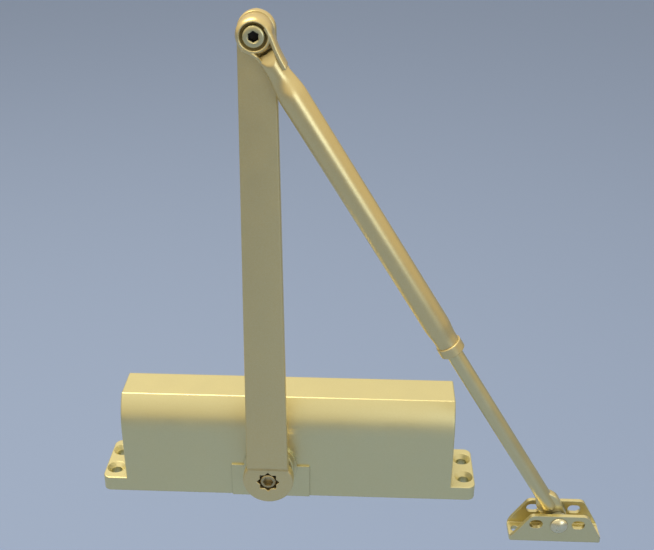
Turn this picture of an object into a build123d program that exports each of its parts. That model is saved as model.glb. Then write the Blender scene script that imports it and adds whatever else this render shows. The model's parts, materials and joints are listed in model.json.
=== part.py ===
"""Surface-mounted rack-and-pinion door closer with a double-lever arm, in millimetres.

The housing lies on its mounting face, z = 0, with its length along X and its pinion along Y.
The origin is the middle of the four fixing holes.  The pieces stand as they do with the door
shut: the main arm square to the door, and the forearm down to the shoe on the same plane.
"""

import math
import os

from build123d import *

# Clearances
FIT = 0.05  # radial, between pieces that are put together and stay put
RUN = 0.05  # radial, between a shaft and what it turns or slides in
FACE_GAP = 0.3  # between faces that pass each other

# Housing: a casting with a flat top and flanks that curve in to it
HOUSING_LENGTH = 212.5
HOUSING_HEIGHT = 70.6
BASE_DEPTH = 41.7
TOP_DEPTH = 23.7
FLANK_START = 48.0  # height at which the front and back begin to curve in
END_EDGE_RADIUS = 1.0
TOP_EDGE_RADIUS = 1.2
LUG_REACH = 15.75
LUG_THICKNESS = 10.0
LUG_CORNER = 5.0
LUG_EDGE = 0.8
FIXING_SPACING_X = 230.2
FIXING_SPACING_Y = 19.05
FIXING_HOLE_RADIUS = 3.4
COUNTERSINK_RADIUS = 6.0
COUNTERSINK_ANGLE = 90.0
FOOT_PAD_WIDTH = 50.3
FOOT_PAD_PROUD = 1.1

# Rack and pinion
PINION_X = -11.0
PINION_Z = 24.0
MODULE = 1.5
PINION_TEETH = 10
PRESSURE_ANGLE = 25.0
ADDENDUM = 1.275
DEDENDUM = 1.575
BACKLASH = 0.15
OPENING_ANGLE = 180.0
GEAR_WIDTH = 15.0
JOURNAL_RADIUS = 7.0
PINION_SQUARE = 9.9

# Cylinder, piston and main spring
CYLINDER_WALL = 3.85  # between the cylinder and the front and back faces
PISTON_HEAD_LEFT = 18.0
PISTON_HEAD_RIGHT = 16.0
PISTON_SEAL = 2.6
PISTON_CHAMFER = 0.6
RACK_ROOT_DEPTH = 1.775  # of the rack spaces, deeper than the pinion's teeth reach
RACK_SIDE_STEP = 0.5
RACK_END_GAP = 1.2  # between the pinion and the piston heads at the ends of the stroke
SPIGOT_CLEARANCE = 0.6
SPIGOT_LENGTH = 5.0
CHECK_BALL_RADIUS = 2.6
CHECK_CHAMBER_RADIUS = 3.0
CHECK_PORT_RADIUS = 1.5
CHECK_RETAINER_THICKNESS = 1.5
CHECK_LIFT = 1.0  # of the ball off its seat
SPRING_WIRE_RADIUS = 2.2
SPRING_CLEARANCE = 1.6
SPRING_TURNS = 7.0
SPRING_STEPS = 20  # straight facets in each turn

# End plugs and spring adjuster
PLUG_STEP = 1.0
PLUG_LENGTH = 12.0
PLUG_RECESS = 1.5
PLUG_HEX = 12.0
PLUG_HEX_DEPTH = 5.0
PLUG_SEAL = 2.4
ADJUSTER_RADIUS = 4.0
ADJUSTER_LENGTH = 54.0
ADJUSTER_COLLAR_RADIUS = 7.0
ADJUSTER_COLLAR_LENGTH = 3.0
ADJUSTER_HEX = 4.0
SEAT_THICKNESS = 6.0
SEAT_TO_PLUG = 8.0
PIN_WRENCH_CIRCLE = 11.2
PIN_WRENCH_RADIUS = 2.0
PLUG_CHAMFER = 0.8
ADJUSTER_HEX_DEPTH = 4.0

# Pinion bearings, seals and caps
BEARING_RADIUS = 11.0
BEARING_LENGTH = 4.0
SEAL_LENGTH = 1.4
BOSS_RADIUS = 17.0
BOSS_HEIGHT = 2.0
CAP_RADIUS = 14.9
CAP_THICKNESS = 2.0
DUST_CAP_RADIUS = 10.5
DUST_CAP_WALL = 2.0
SPARE_SQUARE_LENGTH = 8.0
CAP_CHAMFER = 0.6
DUST_CAP_CHAMFER = 1.2
DUST_CAP_ROOM = 1.0  # past the end of the spare square

# Regulating valves in the left end
VALVE_HEIGHT = 58.0
VALVE_SPACING = 9.0
VALVE_RADIUS = 3.5
VALVE_LENGTH = 12.0
VALVE_RECESS = 1.0
VALVE_SLOT = 1.0
VALVE_NOSE_LENGTH = 3.0
VALVE_NOSE_STEP = 1.9
VALVE_SEAL = 1.2
GALLERY_RADIUS = 1.5
LATCH_PORT_X = -84.0
CLOSING_PORT_X = -74.0
BACKCHECK_PORT_X = 60.0

# Main arm
ARM_LENGTH = 285.5
ARM_LEAN = 0.16  # degrees past square, towards the shoe
HUB_RADIUS = 16.0
HUB_PLATE = 7.0
HUB_BOSS_RADIUS = 13.0
HUB_TO_CAP = 1.1
HUB_THICKNESS = 13.0
BAR_THICKNESS = 5.5
BAR_WIDTH_LOW = 26.0
BAR_WIDTH_HIGH = 20.0
BAR_JOG = 3.5
JOG_START = 10.0
JOG_LENGTH = 5.5
BAR_EDGE = 0.8
SOCKET_SQUARE = 10.0
ARM_SCREW_HEAD_RADIUS = 4.85
ARM_SCREW_HEAD = 4.0
ARM_SCREW_RADIUS = 3.0
ARM_SCREW_LENGTH = 14.0
ARM_SCREW_HEX = 6.0
ARM_SCREW_RECESS = 0.3
ARM_SCREW_HEX_DEPTH = 3.2
ARM_SCREW_CHAMFER = 0.5
ARM_SCREW_SPARE_THREAD = 3.0

# Elbow
EYE_RADIUS = 9.0
EYE_THICKNESS = 12.9
ELBOW_WASHER = 0.5
ELBOW_SHOULDER_RADIUS = 3.5
ELBOW_THREAD_RADIUS = 3.0
ELBOW_HEAD_RADIUS = 4.8
ELBOW_HEAD_LENGTH = 4.0
ELBOW_HEX = 5.0
ELBOW_HEX_DEPTH = 5.5
ELBOW_HEAD_CHAMFER = 0.8
ELBOW_HEAD_PROUD = 0.2
ELBOW_RECESS_RADIUS = 6.4
ELBOW_BUSH_WALL = 1.0

# Forearm, its clamp and the adjusting rod
TUBE_RADIUS = 7.6
TUBE_WALL = 1.8
TUBE_START = 20.0
TUBE_END = 203.0
TUBE_BORE_START = 27.0
NECK_LENGTH = 14.0
NECK_RADIUS = 6.7
NECK_TAPER = 10.0
WEB_LENGTH = 12.0
WEB_WAIST = 4.3
WEB_FLANGE = 6.4
WEB_CORNER = 1.5
TROUGH_WIDTH = 6.0
TROUGH_DEPTH = 7.0
TROUGH_END = 18.0
TROUGH_WALL = 1.6
TROUGH_FLOOR = 2.5
COLLAR_RADIUS = 7.5
COLLAR_LENGTH = 6.5
COLLAR_LIP = 1.4
COLLAR_CHAMFER = 0.5
COLLET_SLIT = 1.0
ROD_RADIUS = 4.75
ROD_ENGAGEMENT = 55.0
TONGUE_RADIUS = 6.2
TONGUE_THICKNESS = 5.6
TONGUE_LENGTH = 16.0
ROD_SHOULDER = 5.0
ROD_TO_PIVOT = 7.5
ROD_CHAMFER = 0.6

# Shoe
SHOE_OFFSET = 180.2  # pinion axis to shoe pivot, along the housing
SHOE_PIVOT_Z = 13.0
SHOE_LENGTH = 56.0
SHOE_PIVOT_OFFSET = 1.2  # pivot from the middle of the foot
SHOE_TOP_LENGTH = 34.0
SHOE_DEPTH = 17.5
SHOE_HEIGHT = 20.0
SHOE_WALL = 2.5
SHOE_CORNER = 4.5
SHOE_BEND = 1.5
SHOE_FOOT_CORNER = 3.0
SHOE_SLOT_LENGTH = 8.0
SHOE_SLOT_CORNER = 3.0
SHOE_SLOT_HEIGHT = 6.2
SHOE_SLOT_OFFSET = 12.8
SHOE_SLOT_Z = 13.9
SHOE_HOLE_SPACING = 47.0
SHOE_HOLE_RADIUS = 2.75
RIVET_RADIUS = 3.0
RIVET_HEAD_RADIUS = 5.5
RIVET_HEAD_HEIGHT = 2.6
RIVET_TAIL_RADIUS = 4.1
RIVET_TAIL_HEIGHT = 1.2
PIVOT_BUSH_WALL = 1.2
SPACER_RADIUS = 6.2

# Derived sizes and places
PITCH_RADIUS = MODULE * PINION_TEETH / 2
RACK_PITCH = math.pi * MODULE
STROKE = PITCH_RADIUS * math.radians(OPENING_ANGLE)
CYLINDER_Z = PINION_Z + PITCH_RADIUS
CYLINDER_RADIUS = BASE_DEPTH / 2 - CYLINDER_WALL
PLUG_RADIUS = CYLINDER_RADIUS + PLUG_STEP
SPRING_MEAN_RADIUS = CYLINDER_RADIUS - SPRING_CLEARANCE - SPRING_WIRE_RADIUS
SPIGOT_RADIUS = SPRING_MEAN_RADIUS - SPRING_WIRE_RADIUS - SPIGOT_CLEARANCE
PISTON_RADIUS = CYLINDER_RADIUS - RUN
GEAR_TIP_RADIUS = PITCH_RADIUS + ADDENDUM
WINDOW_LEFT = PINION_X - STROKE - GEAR_TIP_RADIUS - RACK_END_GAP
WINDOW_RIGHT = PINION_X + GEAR_TIP_RADIUS + RACK_END_GAP
PISTON_LEFT = WINDOW_LEFT - PISTON_HEAD_LEFT
PISTON_RIGHT = WINDOW_RIGHT + PISTON_HEAD_RIGHT
HOUSING_END = HOUSING_LENGTH / 2
PLUG_OUTER_X = HOUSING_END - PLUG_RECESS
PLUG_INNER_X = PLUG_OUTER_X - PLUG_LENGTH
SEAT_RIGHT = PLUG_INNER_X - SEAT_TO_PLUG
SEAT_LEFT = SEAT_RIGHT - SEAT_THICKNESS
BOSS_FACE = BASE_DEPTH / 2 + BOSS_HEIGHT
CAP_FACE = BOSS_FACE + CAP_THICKNESS
SEAL_START = BOSS_FACE - SEAL_LENGTH - FIT
BEARING_START = SEAL_START - FIT - BEARING_LENGTH
HUB_BACK = CAP_FACE + HUB_TO_CAP
HUB_FRONT = HUB_BACK + HUB_THICKNESS
PINION_FRONT = HUB_FRONT - ARM_SCREW_RECESS - ARM_SCREW_HEAD
BAR_FRONT = HUB_FRONT + BAR_JOG
BAR_BACK = BAR_FRONT - BAR_THICKNESS
ARM_DIRECTION = (math.sin(math.radians(ARM_LEAN)), 0, math.cos(math.radians(ARM_LEAN)))
ELBOW_X = PINION_X + ARM_LENGTH * ARM_DIRECTION[0]
ELBOW_Z = PINION_Z + ARM_LENGTH * ARM_DIRECTION[2]
EYE_BACK = BAR_FRONT + ELBOW_WASHER + FACE_GAP
EYE_FRONT = EYE_BACK + EYE_THICKNESS
FOREARM_PLANE_Y = BAR_FRONT + FACE_GAP + TUBE_RADIUS
ELBOW_HEAD_BACK = EYE_FRONT - ELBOW_HEAD_LENGTH + ELBOW_HEAD_PROUD
SHOE_X = PINION_X + SHOE_OFFSET
SHOE_MIDDLE_X = SHOE_X - SHOE_PIVOT_OFFSET
FOREARM_REACH = math.hypot(SHOE_X - ELBOW_X, ELBOW_Z - SHOE_PIVOT_Z)
ROD_TOP = TUBE_END - ROD_ENGAGEMENT
COLLAR_END = TUBE_END + COLLAR_LENGTH
SHOE_FRONT = FOREARM_PLANE_Y + SHOE_DEPTH / 2
SHOE_BACK = FOREARM_PLANE_Y - SHOE_DEPTH / 2
SHOE_INNER = SHOE_DEPTH / 2 - SHOE_WALL

# Working planes.  A front plane looks out towards the arm, so distances along it are towards -Y.
PINION_AXIS = Plane(origin=(PINION_X, 0, PINION_Z), x_dir=(1, 0, 0), z_dir=(0, -1, 0))
PINION_AXIS_BACK = Plane(origin=(PINION_X, 0, PINION_Z), x_dir=(1, 0, 0), z_dir=(0, 1, 0))
ARM_AXIS = Plane(
    origin=(PINION_X, 0, PINION_Z),
    x_dir=(ARM_DIRECTION[2], 0, -ARM_DIRECTION[0]),
    z_dir=(0, -1, 0),
)
ELBOW_AXIS = Plane(origin=(ELBOW_X, 0, ELBOW_Z), x_dir=(1, 0, 0), z_dir=(0, -1, 0))
SHOE_AXIS = Plane(origin=(SHOE_X, 0, SHOE_PIVOT_Z), x_dir=(1, 0, 0), z_dir=(0, -1, 0))
CYLINDER_AXIS = Plane(origin=(0, 0, CYLINDER_Z), x_dir=(0, 1, 0), z_dir=(1, 0, 0))
# Local z runs down the forearm from the elbow, local x towards the front.
FOREARM_AXIS = Plane(
    origin=(ELBOW_X, -FOREARM_PLANE_Y, ELBOW_Z),
    x_dir=(0, -1, 0),
    z_dir=(SHOE_X - ELBOW_X, 0, SHOE_PIVOT_Z - ELBOW_Z),
)


def disc(plane, radius, start, end):
    """Cylinder on a plane's axis, between two distances along it."""
    return extrude(plane.offset(start) * Circle(radius), amount=end - start)


def ring(plane, outer, inner, start, end):
    """Tube on a plane's axis, between two distances along it."""
    return disc(plane, outer, start, end) - disc(plane, inner, start - 1, end + 1)


def turned(plane, *edges):
    """Solid of revolution about a plane's axis, from edges given as (radius, 0, distance)."""
    return plane * revolve(make_face(edges), Axis.Z)


def hex_socket(plane, across_flats, start, depth):
    """Hexagonal recess tool, from a distance along the axis inwards."""
    hexagon = RegularPolygon(across_flats / 2, 6, major_radius=False)
    return extrude(plane.offset(start - depth) * hexagon, amount=depth + 1)


def seal_ring(plane, outer_radius, section, position):
    """Square-section seal ring in its groove, centred at a distance along an axis."""
    half = section / 2
    return ring(plane, outer_radius, outer_radius - section, position - half, position + half)


def seal_groove(plane, outer_radius, section, position):
    """Groove tool for a seal ring of that section."""
    half = section / 2 + FIT
    inner = outer_radius - section - FIT
    return ring(plane, outer_radius + 1, inner, position - half, position + half)


# Housing


def housing_section():
    """Cross-section: straight up to the start of the flanks, then arcs in to the flat top."""
    half_base = BASE_DEPTH / 2
    base = Line((0, 0), (half_base, 0))
    side = Line(base @ 1, (half_base, FLANK_START))
    flank = TangentArc(side @ 1, (TOP_DEPTH / 2, HOUSING_HEIGHT), tangent=side % 1)
    top = Line(flank @ 1, (0, HOUSING_HEIGHT))
    middle = Line(top @ 1, base @ 0)
    half = make_face([base, side, flank, top, middle])
    section = half + mirror(half, Plane.YZ)
    return fillet(section.vertices().group_by(Axis.Y)[-1], TOP_EDGE_RADIUS)


def lug_plate():
    """Plate under the housing whose ends are the four-hole fixing lugs."""
    outline = RectangleRounded(HOUSING_LENGTH + 2 * LUG_REACH, BASE_DEPTH, LUG_CORNER)
    plate = extrude(outline, amount=LUG_THICKNESS)
    top_edges = plate.faces().sort_by(Axis.Z)[-1].edges()
    return fillet(top_edges, LUG_EDGE)


def fixing_holes():
    """Countersunk fixing holes, two in each lug."""
    hole = CounterSinkHole(
        radius=FIXING_HOLE_RADIUS,
        counter_sink_radius=COUNTERSINK_RADIUS,
        depth=LUG_THICKNESS,
        counter_sink_angle=COUNTERSINK_ANGLE,
    )
    places = GridLocations(FIXING_SPACING_X, FIXING_SPACING_Y, 2, 2)
    return [Pos(0, 0, LUG_THICKNESS) * place * hole for place in places]


def pinion_bosses():
    """Round bosses at both pinion openings, and the foot pads under them."""
    bosses = disc(PINION_AXIS, BOSS_RADIUS, -BOSS_FACE, BOSS_FACE)
    pad_depth = BASE_DEPTH + 2 * FOOT_PAD_PROUD
    pads = Pos(PINION_X, 0, PINION_Z / 2) * Box(FOOT_PAD_WIDTH, pad_depth, PINION_Z)
    return bosses + pads


def valve_plane(y):
    """Axis of a regulating valve, pointing out of the left end."""
    return Plane(origin=(-HOUSING_END, y, VALVE_HEIGHT), x_dir=(0, 1, 0), z_dir=(-1, 0, 0))


def valve_passages(y, port_x):
    """Valve bore, the gallery behind it and the port down into the cylinder."""
    axis = valve_plane(y)
    bore = disc(axis, VALVE_RADIUS, -VALVE_RECESS - VALVE_LENGTH, 1)
    gallery = disc(axis, GALLERY_RADIUS, -HOUSING_END - port_x - GALLERY_RADIUS, -VALVE_LENGTH)
    port_plane = Plane(origin=(port_x, y, CYLINDER_Z))
    port = disc(port_plane, GALLERY_RADIUS, 0, VALVE_HEIGHT - CYLINDER_Z)
    return bore + gallery + port


def make_housing():
    """Casting with its cylinder, plug seats, pinion opening, valve passages and lugs."""
    section = Plane.YZ.offset(-HOUSING_END) * housing_section()
    casting = extrude(section, amount=HOUSING_LENGTH)
    ends = casting.faces().filter_by(Axis.X).edges().filter_by(lambda edge: edge.center().Z > 1)
    casting = fillet(ends, END_EDGE_RADIUS)
    casting += lug_plate()
    casting += pinion_bosses()
    casting -= disc(CYLINDER_AXIS, CYLINDER_RADIUS, -HOUSING_END - 1, HOUSING_END + 1)
    for side in (-1, 1):
        ends_of_seat = sorted((side * PLUG_INNER_X, side * (HOUSING_END + 1)))
        casting -= disc(CYLINDER_AXIS, PLUG_RADIUS, *ends_of_seat)
    casting -= disc(PINION_AXIS, BEARING_RADIUS, -BOSS_FACE - 1, BOSS_FACE + 1)
    for y, port_x in VALVES.values():
        casting -= valve_passages(y, port_x)
    for hole in fixing_holes():
        casting -= hole
    return casting


def end_plug(side):
    """Screwed end plug with a seal groove."""
    axis = end_axis(side)
    plug = disc(axis, PLUG_RADIUS - FIT, PLUG_INNER_X, PLUG_OUTER_X)
    plug = chamfer(plug.faces().sort_by(Axis.X)[-1 if side > 0 else 0].edges(), PLUG_CHAMFER)
    plug -= seal_groove(axis, PLUG_RADIUS - FIT, PLUG_SEAL, plug_seal_place())
    return plug


def end_axis(side):
    """Cylinder axis, pointing out of the right end (+1) or the left end (-1)."""
    return Plane(origin=(0, 0, CYLINDER_Z), x_dir=(0, 1, 0), z_dir=(side, 0, 0))


def plug_seal_place():
    """Distance from the middle of the housing to each end plug's seal ring."""
    return PLUG_INNER_X + 1.5 * PLUG_SEAL


def make_end_plug_left():
    """Blind plug with the wrench socket in its middle."""
    return end_plug(-1) - hex_socket(end_axis(-1), PLUG_HEX, PLUG_OUTER_X, PLUG_HEX_DEPTH)


def make_end_plug_right():
    """Plug with the spring adjuster through its middle, and two pin-wrench holes."""
    plug = end_plug(1)
    plug -= disc(CYLINDER_AXIS, ADJUSTER_RADIUS + RUN, PLUG_INNER_X - 1, PLUG_OUTER_X + 1)
    for side in (-1, 1):
        hole_plane = CYLINDER_AXIS * Pos(side * PIN_WRENCH_CIRCLE, 0, 0)
        plug -= disc(Plane(hole_plane), PIN_WRENCH_RADIUS, PLUG_OUTER_X - PLUG_HEX_DEPTH, PLUG_OUTER_X + 1)
    return plug


def make_end_plug_seals():
    """Both end plugs' seal rings."""
    radius = PLUG_RADIUS - FIT
    return [seal_ring(end_axis(side), radius, PLUG_SEAL, plug_seal_place()) for side in (-1, 1)]


# Pinion and its bearings


def involute(angle):
    """Involute function of a pressure angle in radians."""
    return math.tan(angle) - angle


def tooth_half_angle(radius):
    """Half a tooth's angle at a radius, in radians, constant below the base circle."""
    pressure = math.radians(PRESSURE_ANGLE)
    base_radius = PITCH_RADIUS * math.cos(pressure)
    at_pitch = (RACK_PITCH / 2 - BACKLASH) / (2 * PITCH_RADIUS)
    here = math.acos(min(1.0, base_radius / radius))
    return at_pitch + involute(pressure) - involute(here)


def polar(radius, angle):
    """Point at a radius and an angle in radians."""
    return (radius * math.cos(angle), radius * math.sin(angle))


def gear_outline():
    """Involute spur gear with a tooth space at the top, where the rack's tooth stands at rest."""
    root = PITCH_RADIUS - DEDENDUM
    base_radius = PITCH_RADIUS * math.cos(math.radians(PRESSURE_ANGLE))
    flank_radii = (base_radius, (base_radius + GEAR_TIP_RADIUS) / 2, GEAR_TIP_RADIUS)
    step = 2 * math.pi / PINION_TEETH
    edges = []
    for tooth in range(PINION_TEETH):
        centre = math.pi / 2 + (tooth + 0.5) * step
        rising = [polar(r, centre - tooth_half_angle(r)) for r in flank_radii]
        falling = [polar(r, centre + tooth_half_angle(r)) for r in reversed(flank_radii)]
        foot_in = polar(root, centre - tooth_half_angle(base_radius))
        foot_out = polar(root, centre + tooth_half_angle(base_radius))
        next_foot = polar(root, centre + step - tooth_half_angle(base_radius))
        edges.append(Line(foot_in, rising[0]))
        edges.append(ThreePointArc(*rising))
        edges.append(Line(rising[2], falling[0]))
        edges.append(ThreePointArc(*falling))
        edges.append(Line(falling[2], foot_out))
        edges.append(Line(foot_out, next_foot))
    return make_face(edges)


def make_pinion():
    """Pinion: gear between two journals, a square end for the arm and a spare one at the back."""
    gear = extrude(PINION_AXIS.offset(-GEAR_WIDTH / 2) * gear_outline(), amount=GEAR_WIDTH)
    journal_end = HUB_BACK - FIT
    pinion = gear + disc(PINION_AXIS, JOURNAL_RADIUS, GEAR_WIDTH / 2, journal_end)
    pinion += disc(PINION_AXIS_BACK, JOURNAL_RADIUS, GEAR_WIDTH / 2, CAP_FACE)
    front_square = PINION_AXIS.offset(journal_end) * Rectangle(PINION_SQUARE, PINION_SQUARE)
    pinion += extrude(front_square, amount=PINION_FRONT - journal_end)
    back_square = PINION_AXIS_BACK.offset(CAP_FACE) * Rectangle(PINION_SQUARE, PINION_SQUARE)
    pinion += extrude(back_square, amount=SPARE_SQUARE_LENGTH)
    thread_depth = ARM_SCREW_LENGTH + ARM_SCREW_SPARE_THREAD
    pinion -= disc(PINION_AXIS, ARM_SCREW_RADIUS + FIT, PINION_FRONT - thread_depth, PINION_FRONT + 1)
    return pinion


def make_pinion_bearing(axis):
    """Bearing ring between the pinion journal and the housing."""
    inner = JOURNAL_RADIUS + RUN
    return ring(axis, BEARING_RADIUS - FIT, inner, BEARING_START, BEARING_START + BEARING_LENGTH)


def make_pinion_seal(axis):
    """Shaft seal outside the bearing."""
    return ring(axis, BEARING_RADIUS - FIT, JOURNAL_RADIUS + RUN, SEAL_START, SEAL_START + SEAL_LENGTH)


def make_bearing_cap(axis):
    """Cap ring that closes the boss over the seal."""
    cap = ring(axis, CAP_RADIUS, JOURNAL_RADIUS + FACE_GAP, BOSS_FACE, CAP_FACE)
    face = cap.faces().filter_by(Axis.Y).sort_by(lambda f: abs(f.center().Y))[-1]
    outer_edge = face.edges().sort_by(lambda edge: edge.length)[-1]
    return chamfer(outer_edge, CAP_CHAMFER)


def make_pinion_dust_cap():
    """Push-on cap over the spare square."""
    inner_end = CAP_FACE + SPARE_SQUARE_LENGTH + DUST_CAP_ROOM
    cap = disc(PINION_AXIS_BACK, DUST_CAP_RADIUS, CAP_FACE, inner_end + DUST_CAP_WALL)
    cap = chamfer(cap.faces().sort_by(Axis.Y)[-1].edges(), DUST_CAP_CHAMFER)
    return cap - disc(PINION_AXIS_BACK, DUST_CAP_RADIUS - DUST_CAP_WALL, CAP_FACE - 1, inner_end)


# Piston, check valve and spring


def rack_teeth():
    """Rack teeth that hang from the piston's web, one of them over the pinion at rest."""
    slope = math.tan(math.radians(PRESSURE_ANGLE))
    half = (RACK_PITCH / 2 - BACKLASH) / 2
    tip = half - ADDENDUM * slope
    root = half + RACK_ROOT_DEPTH * slope
    corners = ((-root, RACK_ROOT_DEPTH), (-tip, -ADDENDUM), (tip, -ADDENDUM), (root, RACK_ROOT_DEPTH))
    outline = make_face(Polyline(*corners, close=True))
    width = GEAR_WIDTH - 2 * RACK_SIDE_STEP
    tooth = extrude(Plane.XZ.offset(-width / 2) * outline, amount=width)
    first = -math.floor((STROKE + GEAR_TIP_RADIUS) / RACK_PITCH)
    last = math.floor(GEAR_TIP_RADIUS / RACK_PITCH)
    places = [PINION_X + index * RACK_PITCH for index in range(first, last + 1)]
    return [Pos(x, 0, CYLINDER_Z) * tooth for x in places]


def piston_seal_places():
    """X of the seal ring in each piston head."""
    return (PISTON_LEFT + PISTON_HEAD_LEFT / 2, PISTON_RIGHT - PISTON_HEAD_RIGHT / 2)


def check_chamber_start():
    """X of the step that the check ball seats on, inside the spring spigot."""
    depth = 2 * CHECK_BALL_RADIUS + CHECK_RETAINER_THICKNESS + CHECK_LIFT
    return PISTON_RIGHT + SPIGOT_LENGTH - depth


def make_piston():
    """Piston: two heads joined by a half-round web that carries the rack."""
    piston = disc(CYLINDER_AXIS, PISTON_RADIUS, PISTON_LEFT, PISTON_RIGHT)
    piston = chamfer(piston.edges().filter_by(GeomType.CIRCLE), PISTON_CHAMFER)
    window_height = 2 * PISTON_RADIUS
    root_z = CYLINDER_Z + DEDENDUM
    window_centre = Pos((WINDOW_LEFT + WINDOW_RIGHT) / 2, 0, root_z - window_height / 2)
    piston -= window_centre * Box(WINDOW_RIGHT - WINDOW_LEFT, window_height + 4, window_height)
    for tooth in rack_teeth():
        piston += tooth
    piston += disc(CYLINDER_AXIS, SPIGOT_RADIUS, PISTON_RIGHT, PISTON_RIGHT + SPIGOT_LENGTH)
    for x in piston_seal_places():
        piston -= seal_groove(CYLINDER_AXIS, PISTON_RADIUS, PISTON_SEAL, x)
    spigot_end = PISTON_RIGHT + SPIGOT_LENGTH
    piston -= disc(CYLINDER_AXIS, CHECK_PORT_RADIUS, WINDOW_RIGHT - 1, spigot_end)
    piston -= disc(CYLINDER_AXIS, CHECK_CHAMBER_RADIUS, check_chamber_start(), spigot_end + 1)
    return piston


def make_piston_seals():
    """Seal rings in the two piston heads."""
    return [seal_ring(CYLINDER_AXIS, PISTON_RADIUS, PISTON_SEAL, x) for x in piston_seal_places()]


def make_check_ball():
    """Check ball on the edge of its port."""
    reach = math.sqrt(CHECK_BALL_RADIUS**2 - CHECK_PORT_RADIUS**2)
    x = check_chamber_start() + reach + FIT
    return Pos(x, 0, CYLINDER_Z) * Sphere(CHECK_BALL_RADIUS)


def make_check_retainer():
    """Pressed ring that keeps the check ball in."""
    outer = CHECK_CHAMBER_RADIUS - FIT
    end = PISTON_RIGHT + SPIGOT_LENGTH
    return ring(CYLINDER_AXIS, outer, CHECK_PORT_RADIUS, end - CHECK_RETAINER_THICKNESS, end)


def coil_point(turns, start, pitch):
    """Point on the spring's centre line after a number of turns."""
    across, up = polar(SPRING_MEAN_RADIUS, 2 * math.pi * turns)
    return (start + pitch * turns, across, CYLINDER_Z + up)


def make_main_spring():
    """Compression spring with ground ends, between the piston and the spring seat."""
    start = PISTON_RIGHT + FIT
    end = SEAT_LEFT - FIT
    steps = round(SPRING_TURNS * SPRING_STEPS)
    pitch = (end - start) / SPRING_TURNS
    path = Polyline([coil_point(step / SPRING_STEPS, start, pitch) for step in range(steps + 1)])
    section = Plane(path @ 0, z_dir=path % 0) * RegularPolygon(SPRING_WIRE_RADIUS, 8)
    wire = sweep(section, path=path, transition=Transition.RIGHT)
    return wire & disc(CYLINDER_AXIS, CYLINDER_RADIUS, start, end)


def make_spring_seat():
    """Threaded seat that the adjusting screw draws along."""
    seat = disc(CYLINDER_AXIS, CYLINDER_RADIUS - FACE_GAP, SEAT_LEFT, SEAT_RIGHT)
    seat += disc(CYLINDER_AXIS, SPIGOT_RADIUS, SEAT_LEFT - SPIGOT_LENGTH, SEAT_LEFT)
    hole = disc(CYLINDER_AXIS, ADJUSTER_RADIUS + RUN, SEAT_LEFT - SPIGOT_LENGTH - 1, SEAT_RIGHT + 1)
    return seat - hole


def make_spring_adjusting_screw():
    """Long screw through the right plug, held by a collar inside it."""
    screw = disc(CYLINDER_AXIS, ADJUSTER_RADIUS, PLUG_OUTER_X - ADJUSTER_LENGTH, PLUG_OUTER_X)
    collar_end = PLUG_INNER_X - FACE_GAP
    collar_start = collar_end - ADJUSTER_COLLAR_LENGTH
    screw += disc(CYLINDER_AXIS, ADJUSTER_COLLAR_RADIUS, collar_start, collar_end)
    return screw - hex_socket(CYLINDER_AXIS, ADJUSTER_HEX, PLUG_OUTER_X, ADJUSTER_HEX_DEPTH)


# Regulating valves: node name to (y, x of the port into the cylinder)
VALVES = {
    "closing_speed_valve": (-VALVE_SPACING, CLOSING_PORT_X),
    "latch_speed_valve": (0, LATCH_PORT_X),
    "backcheck_valve": (VALVE_SPACING, BACKCHECK_PORT_X),
}


def valve_seal_place():
    """Distance out of the housing's end to a valve's seal ring."""
    return -VALVE_RECESS - VALVE_LENGTH / 2


def make_valve(y):
    """Regulating screw with a driver slot, a seal groove and a tapered nose."""
    axis = valve_plane(y)
    radius = VALVE_RADIUS - RUN
    outer = -VALVE_RECESS
    inner = outer - VALVE_LENGTH + FIT
    profile = Polyline(
        (0, 0, inner),
        (radius - VALVE_NOSE_STEP, 0, inner),
        (radius, 0, inner + VALVE_NOSE_LENGTH),
        (radius, 0, outer),
        (0, 0, outer),
        close=True,
    )
    valve = turned(axis, profile)
    valve -= seal_groove(axis, radius, VALVE_SEAL, valve_seal_place())
    slot = axis.offset(outer) * Box(2 * VALVE_RADIUS + 1, VALVE_SLOT, 2 * VALVE_SLOT)
    return valve - slot


def make_valve_seal(y):
    """Seal ring on a regulating screw."""
    return seal_ring(valve_plane(y), VALVE_RADIUS - RUN, VALVE_SEAL, valve_seal_place())


# Main arm


def arm_outline():
    """Front view of the main arm: round hub, tapered bar and rounded elbow end."""
    low = BAR_WIDTH_LOW / 2
    high = BAR_WIDTH_HIGH / 2
    bar = make_face(Polyline((-low, 0), (low, 0), (high, ARM_LENGTH), (-high, ARM_LENGTH), close=True))
    return Circle(HUB_RADIUS) + bar + Pos(0, ARM_LENGTH) * Circle(high)


def arm_side_profile():
    """Side view of the main arm: thick hub plate, then the bar stepped to the front."""
    jog_end = JOG_START + JOG_LENGTH
    top = ARM_LENGTH + BAR_WIDTH_HIGH
    return make_face(
        Polyline(
            (HUB_FRONT - HUB_PLATE, -2 * HUB_RADIUS),
            (HUB_FRONT, -2 * HUB_RADIUS),
            (HUB_FRONT, JOG_START),
            (BAR_FRONT, jog_end),
            (BAR_FRONT, top),
            (BAR_BACK, top),
            (BAR_BACK, jog_end + HUB_PLATE),
            (HUB_FRONT - HUB_PLATE, jog_end),
            close=True,
        )
    )


def double_square(side):
    """Eight-pointed star of two squares."""
    return Rectangle(side, side) + Rot(0, 0, 45) * Rectangle(side, side)


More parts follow.
